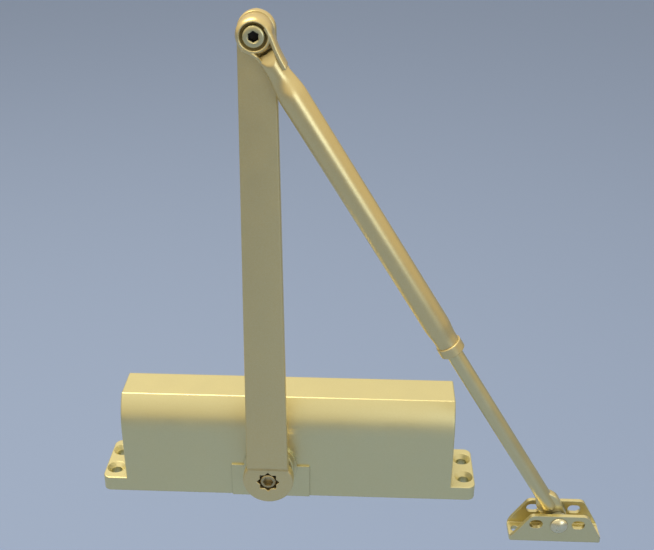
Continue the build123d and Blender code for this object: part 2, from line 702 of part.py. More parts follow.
def make_main_arm():
    """Forged main arm with a double-square socket in its hub."""
    front = extrude(ARM_AXIS.offset(HUB_BACK) * arm_outline(), amount=BAR_FRONT - HUB_BACK + 1)
    side_plane = Plane(origin=ARM_AXIS.origin, x_dir=ARM_AXIS.z_dir, z_dir=-ARM_AXIS.x_dir)
    side = extrude(side_plane.offset(-2 * HUB_RADIUS) * arm_side_profile(), amount=4 * HUB_RADIUS)
    arm = front & side
    long_edges = arm.edges().filter_by(lambda edge: edge.length > ARM_LENGTH / 2)
    arm = fillet(long_edges, BAR_EDGE)
    arm += disc(PINION_AXIS, HUB_BOSS_RADIUS, HUB_BACK, HUB_FRONT - HUB_PLATE + 1)
    arm -= extrude(PINION_AXIS.offset(HUB_BACK - 1) * double_square(SOCKET_SQUARE), amount=HUB_THICKNESS + 2)
    arm -= disc(ELBOW_AXIS, ELBOW_THREAD_RADIUS + FIT, BAR_BACK - 1, BAR_FRONT + 1)
    return arm


def make_arm_screw():
    """Socket screw in the end of the pinion."""
    head_front = PINION_FRONT + ARM_SCREW_HEAD
    screw = disc(PINION_AXIS, ARM_SCREW_HEAD_RADIUS, PINION_FRONT, head_front)
    screw = chamfer(screw.faces().sort_by(Axis.Y)[0].edges(), ARM_SCREW_CHAMFER)
    screw += disc(PINION_AXIS, ARM_SCREW_RADIUS, PINION_FRONT - ARM_SCREW_LENGTH, PINION_FRONT)
    return screw - hex_socket(PINION_AXIS, ARM_SCREW_HEX, head_front, ARM_SCREW_HEX_DEPTH)


def make_elbow_screw():
    """Shoulder screw that carries the forearm's eye."""
    head_front = ELBOW_HEAD_BACK + ELBOW_HEAD_LENGTH
    screw = disc(ELBOW_AXIS, ELBOW_HEAD_RADIUS, ELBOW_HEAD_BACK, head_front)
    screw = chamfer(screw.faces().sort_by(Axis.Y)[0].edges(), ELBOW_HEAD_CHAMFER)
    screw += disc(ELBOW_AXIS, ELBOW_SHOULDER_RADIUS, BAR_FRONT, ELBOW_HEAD_BACK)
    screw += disc(ELBOW_AXIS, ELBOW_THREAD_RADIUS, BAR_BACK, BAR_FRONT)
    return screw - hex_socket(ELBOW_AXIS, ELBOW_HEX, head_front, ELBOW_HEX_DEPTH)


def make_elbow_washer():
    """Thin washer between the bar and the forearm's eye."""
    inner = ELBOW_SHOULDER_RADIUS + FIT
    return ring(ELBOW_AXIS, EYE_RADIUS - 1, inner, BAR_FRONT, BAR_FRONT + ELBOW_WASHER)


def make_elbow_bush():
    """Bush pressed in the forearm's eye."""
    inner = ELBOW_SHOULDER_RADIUS + RUN
    outer = inner + ELBOW_BUSH_WALL
    return ring(ELBOW_AXIS, outer, inner, EYE_BACK, ELBOW_HEAD_BACK - FACE_GAP)


# Forearm


def web_section(distance, left, right):
    """Section of the web at a distance from the elbow, with its reach to each side of the axis."""
    middle = EYE_FRONT - FOREARM_PLANE_Y - EYE_THICKNESS / 2
    outline = RectangleRounded(EYE_THICKNESS, left + right, WEB_CORNER)
    return FOREARM_AXIS.offset(distance) * Pos(middle, (left - right) / 2) * outline


def forearm_web():
    """Web that is waisted on one side, straight on the other, and rounds out to the tube."""
    width = 2 * TUBE_RADIUS
    round_end = RectangleRounded(width, width, TUBE_RADIUS - 0.01)
    sections = [
        web_section(0, WEB_WAIST, EYE_RADIUS - 0.1),
        web_section(WEB_LENGTH, WEB_WAIST, WEB_FLANGE),
        FOREARM_AXIS.offset(TUBE_START) * round_end,
    ]
    return loft(sections, ruled=True)


def trough():
    """Tool that dishes the web's front and slopes up to the tube."""
    start = ELBOW_RECESS_RADIUS + TROUGH_WALL
    floor = EYE_FRONT - FOREARM_PLANE_Y - TROUGH_DEPTH
    above = TUBE_RADIUS + 1
    corners = ((start, floor), (start + TROUGH_FLOOR, floor), (TROUGH_END, above), (start, above))
    outline = Polyline(*corners, close=True)
    # The outline's x runs down the forearm and its y towards the front.
    side = Plane(origin=FOREARM_AXIS.origin, x_dir=FOREARM_AXIS.z_dir, z_dir=FOREARM_AXIS.y_dir)
    return extrude(side * make_face(outline), amount=TROUGH_WIDTH / 2, both=True)


def make_forearm():
    """Formed forearm: flattened eye, waisted trough, round tube and a turned-down neck."""
    neck_start = TUBE_END - NECK_LENGTH
    outline = Polyline(
        (0, 0, TUBE_START),
        (TUBE_RADIUS, 0, TUBE_START),
        (TUBE_RADIUS, 0, neck_start),
        (NECK_RADIUS, 0, neck_start + NECK_TAPER),
        (NECK_RADIUS, 0, TUBE_END),
        (0, 0, TUBE_END),
        close=True,
    )
    forearm = turned(FOREARM_AXIS, outline) + forearm_web()
    forearm += disc(ELBOW_AXIS, EYE_RADIUS, EYE_BACK, EYE_FRONT)
    forearm -= trough()
    forearm -= disc(ELBOW_AXIS, ELBOW_RECESS_RADIUS, ELBOW_HEAD_BACK - FACE_GAP, EYE_FRONT + 1)
    bush_outer = ELBOW_SHOULDER_RADIUS + RUN + ELBOW_BUSH_WALL + FIT
    forearm -= disc(ELBOW_AXIS, bush_outer, EYE_BACK - 1, ELBOW_HEAD_BACK)
    forearm -= disc(FOREARM_AXIS, TUBE_RADIUS - TUBE_WALL, TUBE_BORE_START, TUBE_END + 1)
    return forearm


def make_lock_collet():
    """Split collet that grips the rod inside the tube's neck."""
    start = TUBE_END - NECK_LENGTH
    inner = ROD_RADIUS + RUN
    collet = ring(FOREARM_AXIS, TUBE_RADIUS - TUBE_WALL - FIT, inner, start, COLLAR_END - COLLAR_LIP - FIT)
    slit = Pos(0, TUBE_RADIUS / 2, 0) * Box(COLLET_SLIT, TUBE_RADIUS, 2 * (COLLAR_END - start))
    return collet - FOREARM_AXIS.offset(start) * slit


def make_lock_collar():
    """Knurled collar that closes the tube's end over the collet."""
    collar = disc(FOREARM_AXIS, COLLAR_RADIUS, TUBE_END + FIT, COLLAR_END)
    collar = chamfer(collar.edges().filter_by(GeomType.CIRCLE), COLLAR_CHAMFER)
    collar -= disc(FOREARM_AXIS, TUBE_RADIUS - TUBE_WALL, TUBE_END - 1, COLLAR_END - COLLAR_LIP)
    return collar - disc(FOREARM_AXIS, ROD_RADIUS + FACE_GAP, TUBE_END, COLLAR_END + 1)


def make_adjusting_rod():
    """Rod in the tube, with wings forged out at its shoe end into a tongue with an eye."""
    shoulder = FOREARM_REACH - TONGUE_LENGTH
    rod = disc(FOREARM_AXIS, ROD_RADIUS, ROD_TOP, FOREARM_REACH - ROD_TO_PIVOT)
    rod = chamfer(rod.edges().filter_by(GeomType.CIRCLE), ROD_CHAMFER)
    half = TONGUE_THICKNESS / 2
    flat = FOREARM_AXIS.offset(FOREARM_REACH - TONGUE_LENGTH / 2)
    rod += flat * Box(TONGUE_THICKNESS, 2 * TONGUE_RADIUS, TONGUE_LENGTH)
    transition = loft(
        [
            FOREARM_AXIS.offset(shoulder - ROD_SHOULDER) * Circle(ROD_RADIUS),
            FOREARM_AXIS.offset(shoulder) * Rectangle(TONGUE_THICKNESS, 2 * TONGUE_RADIUS),
        ]
    )
    rod += transition
    rod += disc(SHOE_AXIS, TONGUE_RADIUS, FOREARM_PLANE_Y - half, FOREARM_PLANE_Y + half)
    eye = RIVET_RADIUS + FIT + PIVOT_BUSH_WALL + RUN
    return rod - disc(SHOE_AXIS, eye, SHOE_BACK, SHOE_FRONT)


# Shoe


def shoe_outline():
    """Front view of the shoe: a low foot, then sides that lean in to a top over the pivot."""
    foot = SHOE_LENGTH / 2
    top = SHOE_TOP_LENGTH / 2
    outline = make_face(
        Polyline(
            (-foot, 0),
            (foot, 0),
            (foot, SHOE_WALL),
            (SHOE_PIVOT_OFFSET + top, SHOE_HEIGHT),
            (SHOE_PIVOT_OFFSET - top, SHOE_HEIGHT),
            (-foot, SHOE_WALL),
            close=True,
        )
    )
    return fillet(outline.vertices().group_by(Axis.Y)[-1], SHOE_CORNER)


def shoe_channel():
    """U-section of bent plate, along X."""
    outside = Rectangle(SHOE_DEPTH, SHOE_HEIGHT, align=(Align.CENTER, Align.MIN))
    outside = fillet(outside.vertices().group_by(Axis.Y)[0], SHOE_BEND)
    inside = Rectangle(2 * SHOE_INNER, SHOE_HEIGHT, align=(Align.CENTER, Align.MIN))
    inside = fillet(inside.vertices().group_by(Axis.Y)[0], SHOE_BEND / 2)
    section = outside - Pos(0, SHOE_WALL) * inside
    start = (SHOE_MIDDLE_X - SHOE_LENGTH, -FOREARM_PLANE_Y, 0)
    plane = Plane(origin=start, x_dir=(0, 1, 0), z_dir=(1, 0, 0))
    return extrude(plane * section, amount=2 * SHOE_LENGTH)


def make_shoe_bracket():
    """Pressed shoe: channel trimmed to its outline, slotted walls and two screw holes."""
    front = Plane(origin=(SHOE_MIDDLE_X, 0, 0), x_dir=(1, 0, 0), z_dir=(0, -1, 0))
    start = front.offset(SHOE_BACK - 1)
    depth = SHOE_DEPTH + 2
    foot = RectangleRounded(SHOE_LENGTH, SHOE_DEPTH, SHOE_FOOT_CORNER)
    shoe = shoe_channel() & extrude(start * shoe_outline(), amount=depth)
    shoe &= Pos(SHOE_MIDDLE_X, -FOREARM_PLANE_Y, 0) * extrude(foot, amount=SHOE_HEIGHT)
    slot = RectangleRounded(SHOE_SLOT_LENGTH, SHOE_SLOT_HEIGHT, SHOE_SLOT_CORNER)
    for side in (-1, 1):
        place = Pos(side * SHOE_SLOT_OFFSET, SHOE_SLOT_Z)
        shoe -= extrude(start * place * slot, amount=depth)
        hole = Pos(SHOE_MIDDLE_X + side * SHOE_HOLE_SPACING / 2, -FOREARM_PLANE_Y, 0)
        shoe -= hole * Cylinder(SHOE_HOLE_RADIUS, 3 * SHOE_WALL)
    return shoe - disc(SHOE_AXIS, RIVET_RADIUS + FIT, SHOE_BACK - 1, SHOE_FRONT + 1)


def make_pivot_rivet():
    """Domed rivet through the shoe."""
    cap_radius = (RIVET_HEAD_RADIUS**2 + RIVET_HEAD_HEIGHT**2) / (2 * RIVET_HEAD_HEIGHT)
    ball = SHOE_AXIS.offset(SHOE_FRONT + RIVET_HEAD_HEIGHT - cap_radius) * Sphere(cap_radius)
    head = disc(SHOE_AXIS, RIVET_HEAD_RADIUS, SHOE_FRONT, SHOE_FRONT + cap_radius) & ball
    shank = disc(SHOE_AXIS, RIVET_RADIUS, SHOE_BACK, SHOE_FRONT)
    tail = disc(SHOE_AXIS, RIVET_TAIL_RADIUS, SHOE_BACK - RIVET_TAIL_HEIGHT, SHOE_BACK)
    return head + shank + tail


def make_pivot_bush():
    """Bush on the rivet that the rod's eye turns on."""
    inner = RIVET_RADIUS + FIT
    start = SHOE_BACK + SHOE_WALL
    return ring(SHOE_AXIS, inner + PIVOT_BUSH_WALL, inner, start, start + 2 * SHOE_INNER)


def make_pivot_spacers():
    """Spacer rings between the rod's eye and the shoe's walls."""
    inner = RIVET_RADIUS + FIT + PIVOT_BUSH_WALL + FIT
    half = TONGUE_THICKNESS / 2 + FACE_GAP
    back = ring(SHOE_AXIS, SPACER_RADIUS, inner, SHOE_BACK + SHOE_WALL, FOREARM_PLANE_Y - half)
    front = ring(SHOE_AXIS, SPACER_RADIUS, inner, FOREARM_PLANE_Y + half, SHOE_FRONT - SHOE_WALL)
    return [back, front]


def build_nodes():
    """Every piece under the name of its node."""
    nodes = {
        "housing": make_housing(),
        "end_plug_left": make_end_plug_left(),
        "end_plug_right": make_end_plug_right(),
        "end_plug_seals": make_end_plug_seals(),
        "pinion": make_pinion(),
        "pinion_dust_cap": make_pinion_dust_cap(),
        "piston": make_piston(),
        "piston_seals": make_piston_seals(),
        "check_ball": make_check_ball(),
        "check_retainer": make_check_retainer(),
        "main_spring": make_main_spring(),
        "spring_seat": make_spring_seat(),
        "spring_adjusting_screw": make_spring_adjusting_screw(),
        "main_arm": make_main_arm(),
        "arm_screw": make_arm_screw(),
        "elbow_screw": make_elbow_screw(),
        "elbow_washer": make_elbow_washer(),
        "elbow_bush": make_elbow_bush(),
        "forearm": make_forearm(),
        "lock_collet": make_lock_collet(),
        "lock_collar": make_lock_collar(),
        "adjusting_rod": make_adjusting_rod(),
        "shoe_bracket": make_shoe_bracket(),
        "pivot_rivet": make_pivot_rivet(),
        "pivot_bush": make_pivot_bush(),
        "pivot_spacers": make_pivot_spacers(),
    }
    for place, axis in (("front", PINION_AXIS), ("back", PINION_AXIS_BACK)):
        nodes[f"pinion_bearing_{place}"] = make_pinion_bearing(axis)
        nodes[f"pinion_seal_{place}"] = make_pinion_seal(axis)
        nodes[f"bearing_cap_{place}"] = make_bearing_cap(axis)
    for name, (y, _port_x) in VALVES.items():
        nodes[name] = make_valve(y)
        nodes[f"{name}_seal"] = make_valve_seal(y)
    return nodes


def main():
    """Write one STEP file for each node."""
    os.makedirs("parts", exist_ok=True)
    for name, shape in build_nodes().items():
        solids = shape if isinstance(shape, list) else [shape]
        whole = Compound(children=[solid for piece in solids for solid in piece.solids()])
        export_step(whole, f"parts/{name}.step")


main()
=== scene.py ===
"""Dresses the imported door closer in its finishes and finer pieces, and sets up the studio."""

import json
import logging
import math
from dataclasses import dataclass, replace
from enum import Enum

import bpy
import numpy as np
from mathutils import Matrix

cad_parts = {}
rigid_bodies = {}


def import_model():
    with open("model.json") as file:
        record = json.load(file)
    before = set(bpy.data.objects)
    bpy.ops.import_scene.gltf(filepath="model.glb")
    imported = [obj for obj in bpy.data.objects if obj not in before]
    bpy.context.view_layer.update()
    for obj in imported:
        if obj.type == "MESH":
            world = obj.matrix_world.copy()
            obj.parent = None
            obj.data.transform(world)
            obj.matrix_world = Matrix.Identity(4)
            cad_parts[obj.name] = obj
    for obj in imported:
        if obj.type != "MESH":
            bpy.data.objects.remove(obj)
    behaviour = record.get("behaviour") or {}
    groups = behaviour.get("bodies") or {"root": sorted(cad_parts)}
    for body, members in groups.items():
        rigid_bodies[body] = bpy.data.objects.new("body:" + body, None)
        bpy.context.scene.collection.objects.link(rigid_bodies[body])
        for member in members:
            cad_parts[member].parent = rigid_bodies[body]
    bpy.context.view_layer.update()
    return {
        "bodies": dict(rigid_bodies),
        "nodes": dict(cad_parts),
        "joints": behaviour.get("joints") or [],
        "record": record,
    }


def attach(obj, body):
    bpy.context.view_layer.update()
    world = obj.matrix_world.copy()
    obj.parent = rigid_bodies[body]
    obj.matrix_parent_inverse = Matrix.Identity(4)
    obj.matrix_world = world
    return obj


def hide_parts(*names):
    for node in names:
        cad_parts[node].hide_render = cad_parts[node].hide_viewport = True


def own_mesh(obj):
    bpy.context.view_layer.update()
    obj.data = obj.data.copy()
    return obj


LOG = logging.getLogger("door_closer")
Tree = bpy.types.NodeTree
Socket = bpy.types.NodeSocket
Pair = tuple[float, float]
Triple = tuple[float, float, float]
MM = 0.001
FRAME_WIDTH = 654  # pixels across the picture's frame
SHARP_EDGE = math.radians(40)  # edges sharper than this stay hard
CORNER_STEPS = 6  # points on each rounded corner of a section
THIN_SHARE = 0.9  # most of a thin section's half that its corner takes

# Octaves of the noises, sizes of their features in mm, and samples of the edge and corner tests.
CLOUD_DETAIL = 4.0
WANDER_DETAIL = 5.0
FINE_DETAIL = 3.0
WANDER_SIZE = 12.0
CHIP_SIZE = 3.0
CORNER_SAMPLES = 8
EDGE_SAMPLES = 4


# Finishes


class Grain(Enum):
    """How a surface was made, which decides the fine relief of its finish."""

    CAST = "die cast, then blasted"
    FORGED = "hot forged, then tumbled"
    DRAWN = "drawn tube or bar"
    PRESSED = "pressed from rolled plate"
    TURNED = "turned on a lathe"
    MOULDED = "moulded"


# Size in mm and height in mm of each grain's relief.
GRAIN_RELIEF = {
    Grain.CAST: (1.6, 0.035),
    Grain.FORGED: (3.2, 0.045),
    Grain.DRAWN: (1.1, 0.012),
    Grain.PRESSED: (2.4, 0.018),
    Grain.TURNED: (0.5, 0.008),
    Grain.MOULDED: (0.9, 0.010),
}


def linear_colour(hex_colour: str) -> tuple[float, float, float, float]:
    """Turns an sRGB hex colour into linear RGBA.

    Args:
        hex_colour: Six hex digits, with or without a leading hash.

    Returns:
        The colour as four linear values.
    """
    digits = hex_colour.lstrip("#")
    parts = [int(digits[start : start + 2], 16) / 255 for start in (0, 2, 4)]
    red, green, blue = (c / 12.92 if c <= 0.04045 else ((c + 0.055) / 1.055) ** 2.4 for c in parts)
    return (red, green, blue, 1.0)


def add_node(tree: Tree, kind: str, inputs: dict | None = None, **settings) -> bpy.types.Node:
    """Adds one node with its settings, values and links.

    Args:
        tree: Node tree that gets the node.
        kind: The node's type name.
        inputs: Input socket name or index, to a value or to the socket that feeds it.
        **settings: Attributes of the node.

    Returns:
        The new node.
    """
    node = tree.nodes.new(kind)
    for name, value in settings.items():
        setattr(node, name, value)
    for socket, value in (inputs or {}).items():
        if isinstance(value, Socket):
            tree.links.new(value, node.inputs[socket])
        else:
            node.inputs[socket].default_value = value
    return node


@dataclass(frozen=True)
class Finish:
    """A surface with a large cloudy variation, a fine relief, dust and painted shade in its corners
    and rubbed edges.

    Sizes are in millimetres.
    """

    name: str
    colour: str
    shade: str  # the darker tone of its clouds
    rubbed: str  # what shows where edges are rubbed
    grain: Grain
    metallic: float = 0.0
    roughness: float = 0.4
    roughness_spread: float = 0.08
    coat: float = 0.0
    coat_roughness: float = 0.2
    cloud_size: float = 45.0
    cloud_amount: float = 0.35
    flake_size: float = 0.0
    flake_amount: float = 0.0
    edge_width: float = 0.35
    edge_amount: float = 0.35
    # Dust and painted shade: reach, strength and dark tone of the ambient-occlusion darkening in
    # corners.
    dust_and_shade_reach: float = 3.0
    dust_and_shade_amount: float = 0.35
    dust_and_shade: str = "#3A3629"

    def material(self) -> bpy.types.Material:
        """Makes the finish as a node material.

        Returns:
            The material.
        """
        material = bpy.data.materials.new(self.name)
        material.use_nodes = True
        tree = material.node_tree
        tree.nodes.clear()
        place = add_node(tree, "ShaderNodeTexCoord").outputs["Object"]
        colour = self._clouds(tree, place)
        if self.flake_amount:
            colour = self._flakes(tree, place, colour)
        colour = self._dust_and_shade(tree, colour)
        colour = self._rubbed_edges(tree, place, colour)
        shader = add_node(
            tree,
            "ShaderNodeBsdfPrincipled",
            {
                "Base Color": colour,
                "Metallic": self.metallic,
                "Roughness": self._roughness(tree, place),
                "Coat Weight": self.coat,
                "Coat Roughness": self.coat_roughness,
                "Normal": self._relief(tree, place),
            },
        )
        add_node(tree, "ShaderNodeOutputMaterial", {"Surface": shader.outputs["BSDF"]})
        return material

    def _noise(self, tree: Tree, place: Socket, size: float, detail: float) -> Socket:
        """Noise with features of a real size in millimetres."""
        inputs = {"Vector": place, "Scale": 1 / (size * MM), "Detail": detail}
        return add_node(tree, "ShaderNodeTexNoise", inputs).outputs["Fac"]

    def _range(
        self, tree: Tree, value: Socket, source: Pair, target: Pair
    ) -> Socket:
        """Maps a value from one range to another, clamped."""
        inputs = {0: value, 1: source[0], 2: source[1], 3: target[0], 4: target[1]}
        return add_node(tree, "ShaderNodeMapRange", inputs).outputs[0]

    def _blend(
        self, tree: Tree, factor: Socket, first: Socket | tuple, second: Socket | tuple
    ) -> Socket:
        """Mixes two colours by a factor."""
        node = add_node(tree, "ShaderNodeMix", {0: factor, 6: first, 7: second}, data_type="RGBA")
        return node.outputs[2]

    def _clouds(self, tree: Tree, place: Socket) -> Socket:
        """Slow variation between the colour and its shade, as spray passes or heat leave it."""
        cloud = self._noise(tree, place, self.cloud_size, CLOUD_DETAIL)
        factor = self._range(tree, cloud, (0.35, 0.75), (0.0, self.cloud_amount))
        return self._blend(tree, factor, linear_colour(self.colour), linear_colour(self.shade))

    def _flakes(self, tree: Tree, place: Socket, colour: Socket) -> Socket:
        """Metal flakes in the lacquer: each Voronoi cell is a little lighter or darker."""
        pattern = {"Vector": place, "Scale": 1 / (self.flake_size * MM)}
        cells = add_node(tree, "ShaderNodeTexVoronoi", pattern)
        tone = self._range(tree, cells.outputs["Color"], (0.0, 1.0), (0.0, self.flake_amount))
        return self._blend(tree, tone, colour, linear_colour(self.rubbed))

    def _dust_and_shade(self, tree: Tree, colour: Socket) -> Socket:
        """Dust and painted shade where the surface is boxed in: ambient occlusion darkens the
        colour towards the dust tone.
        """
        reach = {"Distance": self.dust_and_shade_reach * MM}
        hollow = add_node(tree, "ShaderNodeAmbientOcclusion", reach, samples=CORNER_SAMPLES)
        factor = self._range(tree, hollow.outputs["AO"], (0.25, 0.85), (self.dust_and_shade_amount, 0.0))
        return self._blend(tree, factor, colour, linear_colour(self.dust_and_shade))

    def _rubbed_edges(self, tree: Tree, place: Socket, colour: Socket) -> Socket:
        """Edges rubbed brighter: where a rounded normal leaves the true one, broken up by noise."""
        rounded = self._rounded_normal(tree)
        true_normal = add_node(tree, "ShaderNodeNewGeometry").outputs["Normal"]
        normals = {0: rounded, 1: true_normal}
        dot = add_node(tree, "ShaderNodeVectorMath", normals, operation="DOT_PRODUCT")
        edge = self._range(tree, dot.outputs["Value"], (0.97, 0.80), (0.0, self.edge_amount))
        chips = self._noise(tree, place, CHIP_SIZE, FINE_DETAIL)
        shares = {0: edge, 1: self._range(tree, chips, (0.40, 0.60), (0.35, 1.0))}
        factor = add_node(tree, "ShaderNodeMath", shares, operation="MULTIPLY").outputs[0]
        return self._blend(tree, factor, colour, linear_colour(self.rubbed))

    def _rounded_normal(self, tree: Tree) -> Socket:
        """Normal that turns softly over the edges."""
        radius = {"Radius": self.edge_width * MM}
        return add_node(tree, "ShaderNodeBevel", radius, samples=EDGE_SAMPLES).outputs["Normal"]

    def _roughness(self, tree: Tree, place: Socket) -> Socket:
        """Roughness that wanders a little over a finger's width."""
        wander = self._noise(tree, place, WANDER_SIZE, WANDER_DETAIL)
        low = self.roughness - self.roughness_spread
        high = self.roughness + self.roughness_spread
        return self._range(tree, wander, (0.3, 0.7), (low, high))

    def _relief(self, tree: Tree, place: Socket) -> Socket:
        """Fine relief of the grain, on a normal that is softened at the edges."""
        size, height = GRAIN_RELIEF[self.grain]
        inputs = {
            "Height": self._noise(tree, place, size, FINE_DETAIL),
            "Distance": height * MM,
            "Strength": 1.0,
            "Normal": self._rounded_normal(tree),
        }
        return add_node(tree, "ShaderNodeBump", inputs).outputs["Normal"]


# Sprayed metallic lacquer on an aluminium die casting: satin, a warm gleam from above, flat and
# cool on the upright faces.  The flakes are about 0.1 mm in life and drawn five times as coarse.
CAST_LACQUER = Finish(
    name="champagne_lacquer_on_cast_aluminium",
    roughness_spread=0.03,
    cloud_amount=0.2,
    colour="#DED6A2",
    shade="#D8CF9B",
    rubbed="#F2ECCA",
    grain=Grain.CAST,
    metallic=0.88,
    roughness=0.38,
    coat=0.1,
    coat_roughness=0.3,
    flake_size=0.5,
    flake_amount=0.16,
)
# The same lacquer on forged steel: the forging's slow ripple shows through it. Its colour and shade
# are the lacquer's, made warmer by a painted warm reflection.
FORGED_LACQUER = replace(
    CAST_LACQUER,
    name="champagne_lacquer_on_forged_steel",
    colour="#E0CC90",
    shade="#D4C28A",
    rubbed="#F0EAC8",
    grain=Grain.FORGED,
    roughness=0.36,
)
# The lacquer on drawn tube and bar: smoother, with a tighter highlight along its length.
DRAWN_LACQUER = replace(
    CAST_LACQUER,
    name="champagne_lacquer_on_drawn_steel",
    colour="#DED098",
    shade="#D5CC98",
    grain=Grain.DRAWN,
    roughness=0.32,
    coat_roughness=0.25,
    flake_amount=0.14,
)
# The lacquer on pressed plate, thinner over its bends.
PRESSED_LACQUER = replace(
    CAST_LACQUER,
    name="champagne_lacquer_on_pressed_steel",
    colour="#D9CF9A",
    shade="#D2C995",
    rubbed="#F4EED0",
    grain=Grain.PRESSED,
    roughness=0.34,
    coat_roughness=0.25,
    flake_amount=0.15,
    edge_amount=0.5,
)
# Zinc plated steel: pale, slightly blue and cloudy.
ZINC_PLATE = Finish(
    name="zinc_plated_steel",
    colour="#B9BCBA",
    shade="#9C9F9F",
    rubbed="#D6D8D6",
    grain=Grain.TURNED,
    metallic=1.0,
    roughness=0.34,
    cloud_size=9.0,
    cloud_amount=0.6,
)
# Ground bearing steel: bright and even.
GROUND_STEEL = Finish(
    name="ground_bearing_steel",
    colour="#C4C5C6",
    shade="#AEB0B2",
    rubbed="#E0E1E2",
    grain=Grain.TURNED,
    metallic=1.0,
    roughness=0.2,
    roughness_spread=0.04,
    cloud_size=14.0,
)
# Turned and hobbed pinion steel under a film of oil.
HOBBED_STEEL = Finish(
    name="hobbed_steel",
    colour="#A7A6A2",
    shade="#86847E",
    rubbed="#CFCFCC",
    grain=Grain.TURNED,
    metallic=1.0,
    roughness=0.3,
    coat=0.3,
    coat_roughness=0.1,
    cloud_size=12.0,
)
# Screws lacquered over with the arm, chipped to a dull steel, with dust and stronger painted shade
# in their sockets.
SCREW_LACQUER = Finish(
    name="lacquered_screw_steel",
    colour="#BFAE80",
    shade="#8E8464",
    rubbed="#E9E0BE",
    grain=Grain.TURNED,
    metallic=0.8,
    roughness=0.3,
    cloud_size=6.0,
    cloud_amount=0.5,
    edge_amount=0.55,
    # stronger painted shade and dust in the sockets
    dust_and_shade_amount=0.55,
)
# The elbow screw's broad head, lacquered with the forearm.
ELBOW_SCREW_LACQUER = replace(
    SCREW_LACQUER, name="lacquered_shoulder_screw_steel", colour="#D8D0A0", shade="#C4BB8C"
)
# Painted shade in the elbow screw's socket: all but black, and dull.
SOCKET_PAINTED_SHADE = Finish(
    name="painted_shade_in_socket",
    colour="#15120D",
    shade="#0E0C09",
    rubbed="#3A3222",
    grain=Grain.FORGED,
    roughness=0.6,
    cloud_size=3.0,
)
# The rivet's head was hammered after lacquering, which left it bright.
RIVET_LACQUER = replace(
    SCREW_LACQUER,
    name="lacquered_rivet_steel",
    colour="#E6DFBC",
    shade="#CFC69C",
    roughness=0.26,
)
# Black oxide on hardened screws: near black, oily, with grey rubbed edges.
BLACK_OXIDE = Finish(
    name="black_oxide_steel",
    colour="#4A4843",
    shade="#33322E",
    rubbed="#8C8A84",
    grain=Grain.TURNED,
    metallic=1.0,
    roughness=0.36,
    cloud_size=7.0,
)
# Oil-tempered spring wire: blue-black, under a film of oil.
SPRING_WIRE = Finish(
    name="oil_tempered_spring_steel",
    colour="#4C4D52",
    shade="#383A40",
    rubbed="#8F9298",
    grain=Grain.DRAWN,
    metallic=1.0,
    roughness=0.3,
    coat=0.3,
    coat_roughness=0.1,
    cloud_size=16.0,
)
# Machined grey iron: dark, with pores that the oil fills.
MACHINED_IRON = Finish(
    name="machined_grey_iron",
    colour="#7C7B79",
    shade="#5D5C5A",
    rubbed="#A5A4A2",
    grain=Grain.CAST,
    metallic=1.0,
    roughness=0.38,
    coat=0.3,
    coat_roughness=0.12,
    cloud_size=5.0,
    cloud_amount=0.5,
)
# Nitrile rubber: matte black with a dusty bloom.
NITRILE_RUBBER = Finish(
    name="nitrile_rubber",
    colour="#232323",
    shade="#303030",
    rubbed="#3C3C3B",
    grain=Grain.MOULDED,
    roughness=0.62,
    cloud_size=8.0,
)
# Filled PTFE: dark brown and waxy.
FILLED_PTFE = Finish(
    name="bronze_filled_ptfe",
    colour="#4A3A2A",
    shade="#392D22",
    rubbed="#6A543C",
    grain=Grain.TURNED,
    roughness=0.45,
    cloud_size=8.0,
)
# Moulded nylon: black with a fine spark texture.
MOULDED_NYLON = Finish(
    name="moulded_black_nylon",
    colour="#2A2A29",
    shade="#222221",
    rubbed="#4A4A48",
    grain=Grain.MOULDED,
    roughness=0.46,
    cloud_size=20.0,
)
# Sintered bronze: brown gold, porous and oily.
SINTERED_BRONZE = Finish(
    name="sintered_bronze",
    colour="#A9814E",
    shade="#86633A",
    rubbed="#CFA871",
    grain=Grain.CAST,
    metallic=1.0,
    roughness=0.4,
    cloud_size=4.0,
    cloud_amount=0.5,
)
# Free-cutting brass, turned.
TURNED_BRASS = Finish(
    name="turned_brass",
    colour="#CBA65C",
    shade="#A98847",
    rubbed="#E6CB8C",
    grain=Grain.TURNED,
    metallic=1.0,
    roughness=0.26,
    cloud_size=6.0,
)

# The finish of each material slot of the record.
SLOT_FINISHES = {
    "champagne_lacquer": CAST_LACQUER,
    "cap_lacquer": CAST_LACQUER,
    "arm_lacquer": FORGED_LACQUER,
    "rod_lacquer": DRAWN_LACQUER,
    "shoe_lacquer": PRESSED_LACQUER,
    "screw_lacquer": SCREW_LACQUER,
    "zinc_steel": ZINC_PLATE,
    "bearing_steel": GROUND_STEEL,
    "pinion_steel": HOBBED_STEEL,
    "screw_steel": BLACK_OXIDE,
    "spring_steel": SPRING_WIRE,
    "piston_iron": MACHINED_IRON,
    "seal_rubber": NITRILE_RUBBER,
    "seal_ring_plastic": FILLED_PTFE,
    "black_plastic": MOULDED_NYLON,
    "bronze": SINTERED_BRONZE,
    "brass": TURNED_BRASS,
}


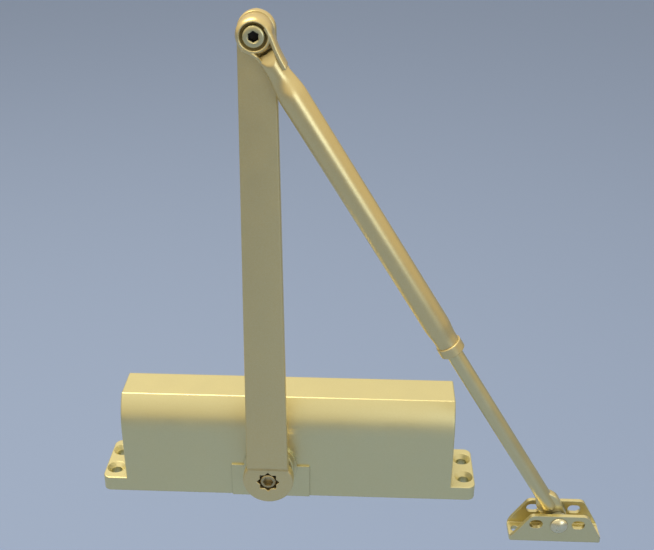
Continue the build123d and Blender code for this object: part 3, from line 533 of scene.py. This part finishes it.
class Wardrobe:
    """Makes each finish once and puts it on pieces and nodes."""

    def __init__(self, frame: dict) -> None:
        """Keeps the frame's nodes and slots.
        """
        self.nodes = frame["nodes"]
        self.slots = {part["node"]: part["material_slot"] for part in frame["record"]["subparts"]}
        self.materials: dict[str, bpy.types.Material] = {}

    def material(self, finish: Finish) -> bpy.types.Material:
        """The material of a finish, made the first time that it is asked for."""
        if finish.name not in self.materials:
            self.materials[finish.name] = finish.material()
        return self.materials[finish.name]

    def dress(self, piece: bpy.types.Object, finish: Finish) -> None:
        """Puts a finish on a piece, in place of what it had."""
        if not piece.material_slots:
            piece.data.materials.append(None)
        for slot in piece.material_slots:
            slot.material = self.material(finish)

    def finish_piece(
        self, piece: bpy.types.Object, finish: Finish, body: str, slot: str, *nodes: str
    ) -> None:
        """Dresses a new piece, sets it riding on its body and puts it in place of its nodes.

        Args:
            piece: The new piece.
            finish: What it is finished in.
            body: The body that it rides on.
            slot: The record's slot that its finish belongs to. Not used.
            *nodes: The CAD nodes that it stands for.
        """
        self.dress(piece, finish)
        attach(piece, body)
        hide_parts(*nodes)
        LOG.info("piece %s: %s, for %s", piece.name, finish.name, ", ".join(nodes))

    def dress_nodes(self) -> None:
        """Dresses every CAD node in the finish of its slot."""
        for name, node in self.nodes.items():
            finish = SLOT_FINISHES[self.slots[name]]
            self.dress(node, finish)
            LOG.info("node %s: %s", name, finish.name)


# Shapes


@dataclass(frozen=True)
class Axes:
    """A piece's own axes: along it, across it and towards the front.

    The origin is in millimetres and lies in the plane of the mounting faces.
    """

    origin: Triple
    along: Triple
    across: Triple
    front: Triple = (0.0, -1.0, 0.0)

    def place(self, along: np.ndarray, across: np.ndarray, front: np.ndarray) -> np.ndarray:
        """Turns places on the piece's own axes, in millimetres, into places in the frame.

        The place is the origin plus each axis times its distance.

        Args:
            along: Distances along the piece.
            across: Distances across it.
            front: Distances towards the front.

        Returns:
            The places in metres, with x, y and z in the last dimension.
        """
        steps = np.stack(np.broadcast_arrays(along, across, front), axis=-1)
        axes = np.array([self.along, self.across, self.front])
        return (np.array(self.origin) + steps @ axes) * MM


def leaning_axes(origin: Triple, end: Triple) -> Axes:
    """Axes that run from an origin to an end in the plane of the mounting faces.

    Across is along turned a quarter turn in that plane.
    """
    reach = np.array(end) - np.array(origin)
    along = reach / np.linalg.norm(reach)
    return Axes(origin, tuple(along), (-along[2], 0.0, along[0]))


class Form:
    """Gathers closed shells into one mesh, each turned so that its faces point outwards."""

    def __init__(self, name: str, axes: Axes) -> None:
        """Starts an empty form.

        Args:
            name: The piece's name.
            axes: The axes that its grids are given on.
        """
        self.name = name
        self.axes = axes
        self.points: list[np.ndarray] = []
        self.faces: list[list[int]] = []
        self.count = 0

    def add(
        self, along: np.ndarray, across: np.ndarray, front: np.ndarray, closed: bool = False
    ) -> None:
        """Adds a shell from a grid whose rows are closed rings.

        Neighbouring rings are joined by quads.  The shell's volume is a sixth of the sum of its
        triangles' triple products, and where it comes out negative every face is turned.

        Args:
            along: Distances along the piece, over the grid.
            across: Distances across it.
            front: Distances towards the front.
            closed: Whether the last ring joins the first.  Otherwise both ends are capped.
        """
        grid = self.axes.place(along, across, front)
        rows, columns = grid.shape[:2]
        index = np.arange(rows * columns).reshape(rows, columns)
        upper = np.roll(index, -1, axis=0) if closed else index[1:]
        lower = index if closed else index[:-1]
        corners = [lower, np.roll(lower, -1, 1), np.roll(upper, -1, 1), upper]
        quads = np.stack(corners, axis=-1).reshape(-1, 4)
        caps = [] if closed else [index[0][::-1], index[-1]]
        points = grid.reshape(-1, 3)
        fans = [np.column_stack([np.full(columns - 2, cap[0]), cap[1:-1], cap[2:]]) for cap in caps]
        triangles = np.concatenate([quads[:, :3], quads[:, [0, 2, 3]], *fans])
        middle = points - points.mean(axis=0)
        a, b, c = (middle[triangles[:, corner]] for corner in range(3))
        volume = np.einsum("ij,ij->", a, np.cross(b, c)) / 6
        faces = quads.tolist() + [cap.tolist() for cap in caps]
        turn = -1 if volume < 0 else 1
        self.faces += [[corner + self.count for corner in face[::turn]] for face in faces]
        self.points.append(points)
        self.count += len(points)

    def build(self) -> bpy.types.Object:
        """Makes the object, smooth but for its sharp edges."""
        mesh = bpy.data.meshes.new(self.name)
        mesh.from_pydata(np.concatenate(self.points).tolist(), [], self.faces)
        mesh.polygons.foreach_set("use_smooth", np.ones(len(mesh.polygons), dtype=bool))
        mesh.set_sharp_from_angle(angle=SHARP_EDGE)
        piece = bpy.data.objects.new(self.name, mesh)
        bpy.context.scene.collection.objects.link(piece)
        return piece


def turn_angles(count: int) -> np.ndarray:
    """Even angles round a full turn, in radians."""
    return np.arange(count) * (2 * np.pi / count)


def many_sided(flat: float, sides: int, angles: np.ndarray, turned: float = 0.0) -> np.ndarray:
    """Radius of a regular polygon at each angle.

    It is half the distance over the flats, over the cosine of the angle to the nearest one's
    middle.
    """
    step = 2 * np.pi / sides
    off = np.mod(angles - turned + step / 2, step) - step / 2
    return flat / 2 / np.cos(off)


def ease(value: np.ndarray, start: float, end: float) -> np.ndarray:
    """Soft step from 0 at the start to 1 at the end: three times the square less twice the cube."""
    share = np.clip((value - start) / (end - start), 0.0, 1.0)
    return share * share * (3 - 2 * share)


def rounded_section(
    half: np.ndarray, back: np.ndarray, front: np.ndarray, edge: float
) -> tuple[np.ndarray, np.ndarray]:
    """Rounded rectangles, one row for each section.

    Each corner is a quarter circle of the edge radius about a centre set in by that radius.

    Args:
        half: Half of each section's width.
        back: Where each section begins in depth.
        front: Where it ends.
        edge: Radius of its corners, cut down where a section is too thin for it.

    Returns:
        The distances across and towards the front, over sections and points.
    """
    half, back, front = (np.atleast_1d(v)[:, None] for v in np.broadcast_arrays(half, back, front))
    radius = np.minimum(edge, THIN_SHARE * np.minimum(half, (front - back) / 2))
    quarter = np.linspace(0, np.pi / 2, CORNER_STEPS)
    centre = np.arange(4)[:, None] * np.pi / 2 + np.zeros(CORNER_STEPS)
    angle = (centre + quarter).ravel()
    to_side = np.sign(np.cos(centre + np.pi / 4)).ravel()
    to_front = np.sign(np.sin(centre + np.pi / 4)).ravel()
    across = to_side * (half - radius) + radius * np.cos(angle)
    depth = (front + back) / 2 + to_front * ((front - back) / 2 - radius) + radius * np.sin(angle)
    return across, depth


def bored_plate(
    outer: np.ndarray, inner: np.ndarray, profile: list[Triple]
) -> tuple[np.ndarray, np.ndarray, np.ndarray]:
    """Plate round a bore: one ring for each point of the outline.

    A ring's point lies a share of the way from the bore's edge to the outline, less a setback.

    Args:
        outer: Outline points, along and across.
        inner: The bore's edge, with one point for each of the outline.
        profile: Share of the way out, setback in millimetres and depth of each of a ring's points.

    Returns:
        The distances along, across and towards the front.
    """
    share, setback, depth = (np.array(column)[None, :] for column in zip(*profile))
    reach = outer - inner
    length = np.linalg.norm(reach, axis=1, keepdims=True)
    step = share * length - setback
    along = inner[:, :1] + reach[:, :1] / length * step
    across = inner[:, 1:] + reach[:, 1:] / length * step
    return along, across, np.broadcast_to(depth, along.shape)


def curve(points: list[Pair], count: int) -> np.ndarray:
    """Cubic Bezier curve: four control points weighted by the terms of (1 - t + t) cubed."""
    t = np.linspace(0.0, 1.0, count)[:, None]
    weights = np.hstack([(1 - t) ** 3, 3 * t * (1 - t) ** 2, 3 * t**2 * (1 - t), t**3])
    return weights @ np.array(points)


# Where the parts stand, in millimetres.
PINION = (-11.0, 0.0, 24.0)
SHOE_PIVOT = (169.2, 0.0, 13.0)
ARM_LENGTH = 285.5
ARM_LEAN = math.radians(0.16)
ARM_ALONG = (math.sin(ARM_LEAN), 0.0, math.cos(ARM_LEAN))
ELBOW = (PINION[0] + ARM_LENGTH * ARM_ALONG[0], 0.0, PINION[2] + ARM_LENGTH * ARM_ALONG[2])
ARM_AXES = Axes(PINION, ARM_ALONG, (ARM_ALONG[2], 0.0, -ARM_ALONG[0]))
FOREARM_AXES = leaning_axes(ELBOW, SHOE_PIVOT)
FOREARM_REACH = math.hypot(SHOE_PIVOT[0] - ELBOW[0], SHOE_PIVOT[2] - ELBOW[2])
FOREARM_PLANE = 50.35  # depth of the forearm's middle


@dataclass(frozen=True)
class MainArm:
    """Forged main arm: round hub with a double-square socket, and a bar that steps to the front.

    Sizes are in millimetres.
    """

    hub_radius: float = 16.0
    hub_boss_radius: float = 13.0
    hub_back: float = 25.95
    hub_front: float = 38.95
    plate: float = 7.0
    socket: float = 10.0
    rim: float = 1.5
    bar_back: float = 36.97
    bar_front: float = 42.45
    width_low: float = 26.0
    width_high: float = 20.0
    bar_edge: float = 1.1
    bend_start: float = 7.8
    bend_end: float = 14.4
    back_bend_start: float = 15.5
    back_bend_end: float = 22.5
    sides: int = 96

    def hub(self, form: Form) -> None:
        """Hub disc: at each angle the socket is the farther of two squares 45 degrees apart."""
        angles = turn_angles(self.sides)
        squares = [many_sided(self.socket, 4, angles, turned) for turned in (0.0, np.pi / 4)]
        bore = np.maximum(*squares)
        ring = np.column_stack([np.cos(angles), np.sin(angles)])
        front, back = self.hub_front, self.hub_front - self.plate
        profile = [
            (0.0, 0.0, self.hub_back),
            (0.0, 0.0, front - 0.35),
            (0.0, -0.35, front),
            (1.0, self.rim, front),
            (1.0, 0.62 * self.rim, front - 0.08 * self.rim),
            (1.0, 0.29 * self.rim, front - 0.29 * self.rim),
            (1.0, 0.08 * self.rim, front - 0.62 * self.rim),
            (1.0, 0.0, front - self.rim),
            (1.0, 0.0, back + 0.7),
            (1.0, 0.7, back),
            (1.0, self.hub_radius - self.hub_boss_radius, back),
            (1.0, self.hub_radius - self.hub_boss_radius, self.hub_back),
        ]
        form.add(*bored_plate(ring * self.hub_radius, ring * bore[:, None], profile), closed=True)

    def bar(self, form: Form) -> None:
        """Bar: rounded sections that ease over the step, front and back, and round the elbow."""
        tip = ARM_LENGTH + self.width_high / 2 * np.sin(np.linspace(0.0, 0.4985 * np.pi, 24))
        step = np.linspace(self.bend_start - 0.3, 24.0, 44)
        along = np.concatenate([step, np.linspace(30.0, 280.0, 26), tip])
        taper = np.interp(along, (0.0, ARM_LENGTH), (self.width_low / 2, self.width_high / 2))
        past = np.clip(along - ARM_LENGTH, 0.0, None) * 2 / self.width_high
        half = taper * np.sqrt(np.maximum(1 - past**2, 0.0001))
        raised = ease(along, self.bend_start, self.bend_end)
        front = self.hub_front + 0.01 + (self.bar_front - self.hub_front - 0.01) * raised
        low = self.hub_front - self.plate + 0.05
        back = low + (self.bar_back - low) * ease(along, self.back_bend_start, self.back_bend_end)
        across, depth = rounded_section(half, back, front, self.bar_edge)
        form.add(along[:, None], across, depth)

    def build(self, wardrobe: Wardrobe) -> None:
        """Builds the arm in place of its node."""
        form = Form("main_arm_forging", ARM_AXES)
        self.hub(form)
        self.bar(form)
        wardrobe.finish_piece(form.build(), FORGED_LACQUER, "arm", "arm_lacquer", "main_arm")


@dataclass(frozen=True)
class Forearm:
    """Formed forearm: an eye, two flanges that hold the tube's slanted end, and a necked tube.

    Sizes are in millimetres.
    """

    eye_radius: float = 9.5
    eye_back: float = 43.25
    eye_front: float = 56.15
    bush_bore: float = 4.65
    recess_floor: float = 52.05
    recess_radius: float = 5.85
    flange_front: float = 55.95
    floor_front: float = 47.4
    tube_radius: float = 7.6
    end_radius: float = 5.6
    end_place: float = 10.6
    end_middle: float = 2.2
    ramp_start: float = 1.8
    ramp_slope: float = 1.55
    swell_start: float = 19.0
    swell_end: float = 37.0
    bore: float = 5.8
    bore_start: float = 34.0
    neck_radius: float = 6.7
    tube_end: float = 203.0
    eye_sides: int = 96
    tube_sides: int = 72

    def eye(self, form: Form) -> None:
        """Eye: a lathe profile whose recess flares out softly, carried round the elbow's axis."""
        back, front = self.eye_back, self.eye_front
        profile = [
            (self.bush_bore, back),
            (self.bush_bore, self.recess_floor),
            (self.recess_radius, self.recess_floor),
            (self.recess_radius, front - 1.9),
            (self.recess_radius + 0.35, front - 1.75),
            (self.recess_radius + 0.8, front - 1.2),
            (self.recess_radius + 1.15, front - 0.45),
            (self.recess_radius + 1.45, front - 0.08),
            (self.recess_radius + 1.75, front),
            (self.recess_radius + 2.1, front - 0.22),
            (self.recess_radius + 2.6, front - 0.7),
            (self.recess_radius + 3.1, front - 1.6),
            (self.eye_radius - 0.15, front - 2.7),
            (self.eye_radius, front - 4.0),
            (self.eye_radius, back + 1.2),
            (self.eye_radius - 0.4, back + 0.3),
            (self.eye_radius - 1.2, back),
        ]
        radius, depth = (np.array(column)[None, :] for column in zip(*profile))
        angles = turn_angles(self.eye_sides)[:, None]
        form.add(radius * np.cos(angles), radius * np.sin(angles), depth, closed=True)

    def flange(
        self, form: Form, path: np.ndarray, thickness: float, back: float, end_drop: float
    ) -> None:
        """Flange: a rounded strip on edge along a path, its width along the path's normal.

        Its front eases down over the last third of the path, and its end is a half circle in plan.

        Args:
            form: Form that gets it.
            path: The path's points, along and across.
            thickness: The plate's thickness.
            back: Where it begins in depth.
            end_drop: How far its front drops towards the end.
        """
        direction = np.gradient(path, axis=0)
        direction /= np.linalg.norm(direction, axis=1, keepdims=True)
        left = np.linalg.norm(path - path[-1], axis=1)
        half = np.full(len(path), thickness / 2)
        into_end = np.clip(1 - left / half, 0.0, 1.0)
        half = half * np.sqrt(np.maximum(1 - into_end**2, 0.01))
        front = self.flange_front - end_drop * ease(np.linspace(0.0, 1.0, len(path)), 0.66, 1.0)
        width, depth = rounded_section(half, back, front, thickness * 0.48)
        along = path[:, :1] - direction[:, 1:] * width
        across = path[:, 1:] + direction[:, :1] * width
        form.add(along, across, depth)

    def flanges(self, form: Form) -> None:
        """The waisted flange, the straight one with a rounded end, and the floor between them."""
        waisted = curve([(2.2, -8.4), (5.5, -6.6), (7.5, -3.2), (15.0, -4.4)], 30)
        self.flange(form, waisted, 2.0, self.eye_back + 0.4, 2.6)
        ending = np.column_stack([20.6 + 1.4 * np.sin(np.linspace(0.15, 1.5, 8)), np.full(8, 4.9)])
        straight = curve([(-0.6, 7.4), (6.0, 7.4), (9.5, 5.2), (20.6, 4.9)], 30)
        self.flange(form, np.concatenate([straight, ending]), 2.8, self.floor_front - 1.0, 0.0)
        along = np.linspace(6.6, 24.0, 12)
        half = np.full(len(along), 4.9)
        across, depth = rounded_section(half, self.eye_back + 0.2, self.floor_front, 1.2)
        form.add(along[:, None], across + 0.1, depth)

    def tube(self, form: Form) -> None:
        """Tube: rings about the forearm's line, from a ramped end to the neck, then up its bore.

        The end is square at the back and ramps away from the elbow towards the front, by the
        slope times the depth past the ramp's start.  The ramp dies out while the radius grows
        from the end's to the tube's.  The end's own surface is the first ring, shrunk step by
        step about its middle.
        """
        angles = turn_angles(self.tube_sides)[None, :]
        lip = [0.0, 0.0, 0.0, 0.0, 0.35, 1.2]
        line = self.end_place + np.concatenate([lip, np.linspace(3.0, 30.0, 14)])
        shrunk = np.ones(len(line))
        shrunk[:4] = (0.02, 0.35, 0.7, 0.93)
        swell = ease(line, self.swell_start, self.swell_end)
        radius = self.end_radius + (self.tube_radius - self.end_radius) * swell
        radius[:6] -= (0.35, 0.35, 0.35, 0.35, 0.06, 0.0)
        ramp = 1 - ease(line, self.end_place + 3.0, self.swell_end)
        end, full, slim, bore = self.tube_end, self.tube_radius, self.neck_radius, self.bore
        neck = [60.0, 120.0, 189.0, 192.0, 196.0, 199.0, end, end, self.bore_start]
        line = np.concatenate([line, neck])[:, None]
        radius = np.concatenate([radius, [full, full, full, 7.4, 6.95, slim, slim, bore, bore]])
        shrunk = np.concatenate([shrunk, np.ones(len(neck))])[:, None]
        ramp = np.concatenate([ramp, np.zeros(len(neck))])[:, None]
        depth = self.end_middle + shrunk * (radius[:, None] * np.cos(angles) - self.end_middle)
        past = self.ramp_slope * np.maximum(depth - self.ramp_start, 0.0)
        across = shrunk * radius[:, None] * np.sin(angles)
        form.add(line + ramp * past, across, FOREARM_PLANE + depth)

    def build(self, wardrobe: Wardrobe) -> None:
        """Builds the forearm in place of its node."""
        form = Form("forearm_formed", FOREARM_AXES)
        self.eye(form)
        self.flanges(form)
        self.tube(form)
        wardrobe.finish_piece(form.build(), FORGED_LACQUER, "forearm", "arm_lacquer", "forearm")


@dataclass(frozen=True)
class ElbowScrew:
    """Shoulder screw of the elbow, with a broad rounded head and a countersunk hex socket.

    Sizes are in millimetres.
    """

    head_radius: float = 5.6
    head_back: float = 52.35
    head_front: float = 56.35
    hex_flats: float = 5.0
    hex_depth: float = 5.5
    shoulder_radius: float = 3.5
    thread_radius: float = 3.0
    bar_front: float = 42.45
    bar_back: float = 36.95
    sides: int = 96

    def build(self, wardrobe: Wardrobe) -> None:
        """Builds the screw: rings from the socket's floor over the head to the thread's end."""
        front, head = self.head_front, self.head_radius
        steps = [
            (2.95, front - 0.25),
            (3.2, front),
            (head - 1.0, front),
            (head - 0.45, front - 0.18),
            (head - 0.12, front - 0.55),
            (head, front - 1.1),
            (head, self.head_back),
            (self.shoulder_radius, self.head_back),
            (self.shoulder_radius, self.bar_front),
            (self.thread_radius, self.bar_front),
            (self.thread_radius, self.bar_back),
        ]
        angles = turn_angles(self.sides)
        even = np.ones(self.sides)
        hexagon = many_sided(self.hex_flats, 6, angles)
        floor = front - self.hex_depth
        socket = [(0.05 * even, floor), (hexagon, floor), (hexagon, front - 0.45)]
        rings = socket + [(radius * even, depth) for radius, depth in steps]
        radius = np.array([ring[0] for ring in rings])
        depth = np.array([ring[1] for ring in rings])[:, None]
        form = Form("elbow_screw_turned", FOREARM_AXES)
        form.add(radius * np.cos(angles), radius * np.sin(angles), depth)
        screw = form.build()
        wardrobe.finish_piece(screw, ELBOW_SCREW_LACQUER, "arm", "screw_lacquer", "elbow_screw")
        # The socket's floor and walls get the near-black painted shade.
        screw.data.materials.append(wardrobe.material(SOCKET_PAINTED_SHADE))
        inside = np.zeros(len(screw.data.polygons), dtype=np.int32)
        inside[: 2 * self.sides] = 1  # the first two bands of quads: the socket's floor and walls
        inside[-2] = 1  # and the cap at their middle
        screw.data.polygons.foreach_set("material_index", inside)


@dataclass(frozen=True)
class AdjustingRod:
    """Rod that slides in the forearm, with a winged tongue and an eye for the rivet.

    Sizes are in millimetres.
    """

    radius: float = 4.75
    start: float = 148.0
    end: float = FOREARM_REACH - 7.5
    tongue_radius: float = 6.2
    half_thickness: float = 2.8
    eye: float = 4.35
    chamfer: float = 0.6
    end_round: float = 4.2
    wing: float = 7.2
    edge_round: float = 0.9
    edge_cut: float = 0.26
    sides: int = 56

    def shank(self, form: Form) -> None:
        """Round shank: rings with a chamfered start and an end that rounds off as an ellipse."""
        turn = np.linspace(0.0, 0.49 * np.pi, 9)
        tip = self.end - self.end_round + self.end_round * np.sin(turn)
        along = np.concatenate([[self.start, self.start + self.chamfer, 240.0, 320.0], tip])
        full = self.radius
        radius = np.concatenate([[full - self.chamfer], np.full(3, full), full * np.cos(turn)])
        angles = turn_angles(self.sides)[None, :]
        across = radius[:, None] * np.sin(angles)
        form.add(along[:, None], across, FOREARM_PLANE + radius[:, None] * np.cos(angles))

    def tongue(self, form: Form) -> None:
        """Tongue: a plate whose outline rounds the eye, then follows a curve out to each wing."""
        arc = np.linspace(-0.5 * np.pi, 0.5 * np.pi, 33)
        tip, wing = self.tongue_radius, self.wing
        end = tip * np.column_stack([np.cos(arc), np.sin(arc)])
        near = curve([(0.0, tip), (-4.0, tip), (-7.5, wing), (-12.5, wing)], 12)[1:]
        far = curve([(-12.5, wing), (-16.5, wing), (-18.0, 5.4), (-22.0, 3.2)], 14)[1:]
        side = np.concatenate([near, far])
        other = side[::-1] * (1.0, -1.0)
        outline = np.concatenate([end, side, other])
        bore = self.eye * outline / np.linalg.norm(outline, axis=1, keepdims=True)
        half, soft, cut = self.half_thickness, self.edge_round, self.edge_cut
        edge = [(soft, half), (cut, half - cut), (0.0, half - soft)]
        edge += [(setback, -depth) for setback, depth in edge[::-1]]
        walls = [(0.0, 0.0, -half), (0.0, 0.0, half)]
        profile = walls + [(1.0, setback, depth) for setback, depth in edge]
        along, across, depth = bored_plate(outline, bore, profile)
        form.add(along + FOREARM_REACH, across, FOREARM_PLANE + depth, closed=True)

    def build(self, wardrobe: Wardrobe) -> None:
        """Builds the rod in place of its node."""
        form = Form("adjusting_rod_formed", FOREARM_AXES)
        self.shank(form)
        self.tongue(form)
        wardrobe.finish_piece(form.build(), DRAWN_LACQUER, "rod", "rod_lacquer", "adjusting_rod")


@dataclass(frozen=True)
class PivotRivet:
    """Rivet of the shoe, whose head rises to a blunt point.

    Sizes are in millimetres.
    """

    back: float = 40.4
    shoe_back: float = 41.6
    shoe_front: float = 59.1
    shank: float = 3.0
    sides: int = 64

    def build(self, wardrobe: Wardrobe) -> None:
        """Builds the rivet: rings from its tail to the point of its head."""
        front = self.shoe_front
        steps = [
            (3.5, self.back),
            (4.1, self.back + 0.5),
            (4.1, self.shoe_back),
            (self.shank, self.shoe_back),
            (self.shank, front),
            (5.2, front),
            (5.5, front + 0.2),
            (5.35, front + 0.6),
            (4.75, front + 1.15),
            (3.6, front + 1.75),
            (2.3, front + 2.2),
            (1.0, front + 2.5),
            (0.05, front + 2.58),
        ]
        radius, depth = (np.array(column)[:, None] for column in zip(*steps))
        angles = turn_angles(self.sides)[None, :]
        form = Form("pivot_rivet_headed", Axes(SHOE_PIVOT, (1.0, 0.0, 0.0), (0.0, 0.0, 1.0)))
        form.add(radius * np.cos(angles), radius * np.sin(angles), depth)
        wardrobe.finish_piece(form.build(), RIVET_LACQUER, "shoe", "screw_lacquer", "pivot_rivet")


@dataclass(frozen=True)
class MainSpring:
    """Compression spring between the piston and its seat, ground flat at both ends.

    Sizes are in millimetres.
    """

    axis_height: float = 31.5
    start: float = 15.025
    end: float = 78.7
    coil_radius: float = 13.2
    wire_radius: float = 2.2
    turns: float = 7.0
    turn_steps: int = 24
    stroke: float = 23.7
    wire_sides: int = 12

    def build(self, wardrobe: Wardrobe) -> None:
        """Builds the wire in place of its node.

        The wire is rings about a helix.  A ring's point is the helix's point, plus the wire's
        radius times the cosine of its angle outwards, plus that radius times the sine along the
        normal to both the coil's radius and the wire.  Points past either end are moved back to
        it, as grinding does.  Its seat's own travel carries it along whole.
        """
        rings = round(self.turns * self.turn_steps) + 1
        turn = 2 * np.pi * np.linspace(0.0, self.turns, rings)[:, None]
        climb = (self.end - self.start) / (2 * np.pi * self.turns)
        wire = math.hypot(climb, self.coil_radius)
        angles = turn_angles(self.wire_sides)[None, :]
        outwards = self.coil_radius + self.wire_radius * np.cos(angles)
        aside = self.wire_radius * np.sin(angles)
        along = self.start + climb * turn + aside * self.coil_radius / wire
        around = -aside * climb / wire
        across = outwards * np.cos(turn) - around * np.sin(turn)
        up = outwards * np.sin(turn) + around * np.cos(turn)
        axes = Axes((0.0, 0.0, self.axis_height), (1.0, 0.0, 0.0), (0.0, 1.0, 0.0), (0.0, 0.0, 1.0))
        form = Form("main_spring_coiled", axes)
        form.add(np.clip(along, self.start, self.end), across, up)
        spring = form.build()
        wardrobe.finish_piece(spring, SPRING_WIRE, "spring_seat", "spring_steel", "main_spring")
        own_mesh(spring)


# Studio


@dataclass(frozen=True)
class Studio:
    """Camera, pale floor and soft lamps.

    Lengths are in metres, angles in degrees.
    """

    focal_pixels: float = 1015.07
    azimuth: float = 2.2369
    elevation: float = 26.7441
    roll: float = 0.2273
    target: Triple = (0.02424, 0.0, 0.15170)
    distance: float = 0.61647
    floor_half_size: float = 40.0
    floor_height: float = -0.68
    floor_colour: str = "#A4BBE9"
    ceiling_colour: str = "#F9F0DC"
    wall_colour: str = "#DBC8A2"
    world_strength: float = 0.53
    wall_top: float = 0.55  # height of a direction at which the wall has become the ceiling
    sensor_width: float = 36.0  # in millimetres
    clip_start: float = 0.02
    clip_end: float = 150.0

    def camera(self) -> None:
        """Makes the camera from its bearing about the target.

        The camera's axes are right, up and back: back points from the target at the azimuth and
        elevation, and right and up are turned about it by the roll.
        """
        bearing = (self.azimuth, self.elevation, self.roll)
        azimuth, elevation, roll = (math.radians(angle) for angle in bearing)
        back = np.array(
            [
                math.sin(azimuth) * math.cos(elevation),
                -math.cos(azimuth) * math.cos(elevation),
                math.sin(elevation),
            ]
        )
        level = np.cross(-back, (0.0, 0.0, 1.0))
        level /= np.linalg.norm(level)
        upright = np.cross(level, -back)
        right = level * math.cos(roll) + upright * math.sin(roll)
        up = upright * math.cos(roll) - level * math.sin(roll)
        place = np.array(self.target) + back * self.distance
        data = bpy.data.cameras.new("camera")
        data.sensor_fit = "HORIZONTAL"
        data.sensor_width = self.sensor_width
        data.lens = data.sensor_width * self.focal_pixels / FRAME_WIDTH
        data.clip_start = self.clip_start
        data.clip_end = self.clip_end
        camera = bpy.data.objects.new("camera", data)
        matrix = np.eye(4)
        matrix[:3, :4] = np.column_stack([right, up, back, place])
        camera.matrix_world = Matrix(matrix.tolist())
        bpy.context.scene.collection.objects.link(camera)
        bpy.context.scene.camera = camera

    def lamp(
        self, name: str, place: Triple, size: float, power: float, colour: str
    ) -> None:
        """Adds a square soft lamp that faces the object.

        Args:
            name: The lamp's name.
            place: Where it hangs, in metres.
            size: Its side, in metres.
            power: Its power, in watts.
            colour: Its colour, as sRGB hex.
        """
        data = bpy.data.lights.new(name, "AREA")
        data.shape = "SQUARE"
        data.size = size
        data.energy = power
        data.color = linear_colour(colour)[:3]
        lamp = bpy.data.objects.new(name, data)
        back = np.array(place) - np.array(self.target)
        back /= np.linalg.norm(back)
        side = np.cross((0.0, 1.0, 0.0), back)
        side /= np.linalg.norm(side)
        matrix = np.eye(4)
        matrix[:3, :4] = np.column_stack([side, np.cross(back, side), back, place])
        lamp.matrix_world = Matrix(matrix.tolist())
        lamp.visible_camera = False
        bpy.context.scene.collection.objects.link(lamp)

    def floor(self) -> None:
        """Plain pale floor, below all that the arm reaches."""
        half, low = self.floor_half_size, self.floor_height
        corners = [(-half, -half, low), (half, -half, low), (half, half, low), (-half, half, low)]
        mesh = bpy.data.meshes.new("floor")
        mesh.from_pydata(corners, [], [(0, 1, 2, 3)])
        floor = bpy.data.objects.new("floor", mesh)
        bpy.context.scene.collection.objects.link(floor)
        material = bpy.data.materials.new("floor_paper")
        material.use_nodes = True
        tree = material.node_tree
        tree.nodes.clear()
        paper = {"Base Color": linear_colour(self.floor_colour), "Roughness": 0.9}
        shader = add_node(tree, "ShaderNodeBsdfPrincipled", paper)
        add_node(tree, "ShaderNodeOutputMaterial", {"Surface": shader.outputs["BSDF"]})
        mesh.materials.append(material)

    def world(self) -> None:
        """Pale surroundings: a warm wall that pales up to the ceiling with a direction's height.

        What the camera, a reflection or a transmitted ray sees is at full strength, and what lights
        the part is dimmer.
        """
        world = bpy.data.worlds.new("studio")
        world.use_nodes = True
        tree = world.node_tree
        tree.nodes.clear()
        way = add_node(tree, "ShaderNodeTexCoord").outputs["Generated"]
        height = add_node(tree, "ShaderNodeSeparateXYZ", {"Vector": way}).outputs["Z"]
        rise = {0: height, 1: 0.0, 2: self.wall_top, 3: 0.0, 4: 1.0}
        raised = add_node(tree, "ShaderNodeMapRange", rise).outputs[0]
        wall, ceiling = linear_colour(self.wall_colour), linear_colour(self.ceiling_colour)
        tones = {0: raised, 6: wall, 7: ceiling}
        colour = add_node(tree, "ShaderNodeMix", tones, data_type="RGBA").outputs[2]
        rays = add_node(tree, "ShaderNodeLightPath").outputs
        kinds = {0: rays["Is Glossy Ray"], 1: rays["Is Transmission Ray"]}
        mirrored = add_node(tree, "ShaderNodeMath", kinds, operation="MAXIMUM").outputs[0]
        kinds = {0: rays["Is Camera Ray"], 1: mirrored}
        direct = add_node(tree, "ShaderNodeMath", kinds, operation="MAXIMUM").outputs[0]
        light = {"Color": colour, "Strength": self.world_strength}
        lit = add_node(tree, "ShaderNodeBackground", light).outputs[0]
        sight = {"Color": colour, "Strength": 1.0}
        seen = add_node(tree, "ShaderNodeBackground", sight).outputs[0]
        mixed = add_node(tree, "ShaderNodeMixShader", {0: direct, 1: lit, 2: seen})
        add_node(tree, "ShaderNodeOutputWorld", {"Surface": mixed.outputs[0]})
        bpy.context.scene.world = world

    def build(self) -> None:
        """Sets up camera, floor, lamps and surroundings."""
        self.camera()
        self.floor()
        self.world()
        self.lamp("softbox_above", (-1.0, 0.2, 3.0), size=2.0, power=68.0, colour="#FFF0D4")
        self.lamp("window_in_front", (1.2, -2.1, 0.55), size=1.0, power=9.0, colour="#D2E7FF")
        bpy.context.scene.view_settings.view_transform = "Standard"
        LOG.info("studio is set")


def main() -> None:
    """Builds the scene piece by piece."""
    logging.basicConfig(level=logging.INFO, format="%(name)s: %(message)s")
    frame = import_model()
    wardrobe = Wardrobe(frame)
    wardrobe.dress_nodes()
    assemblies = (MainArm(), ElbowScrew(), Forearm(), AdjustingRod(), PivotRivet(), MainSpring())
    for assembly in assemblies:
        assembly.build(wardrobe)
    Studio().build()


if __name__ == "__main__":
    main()
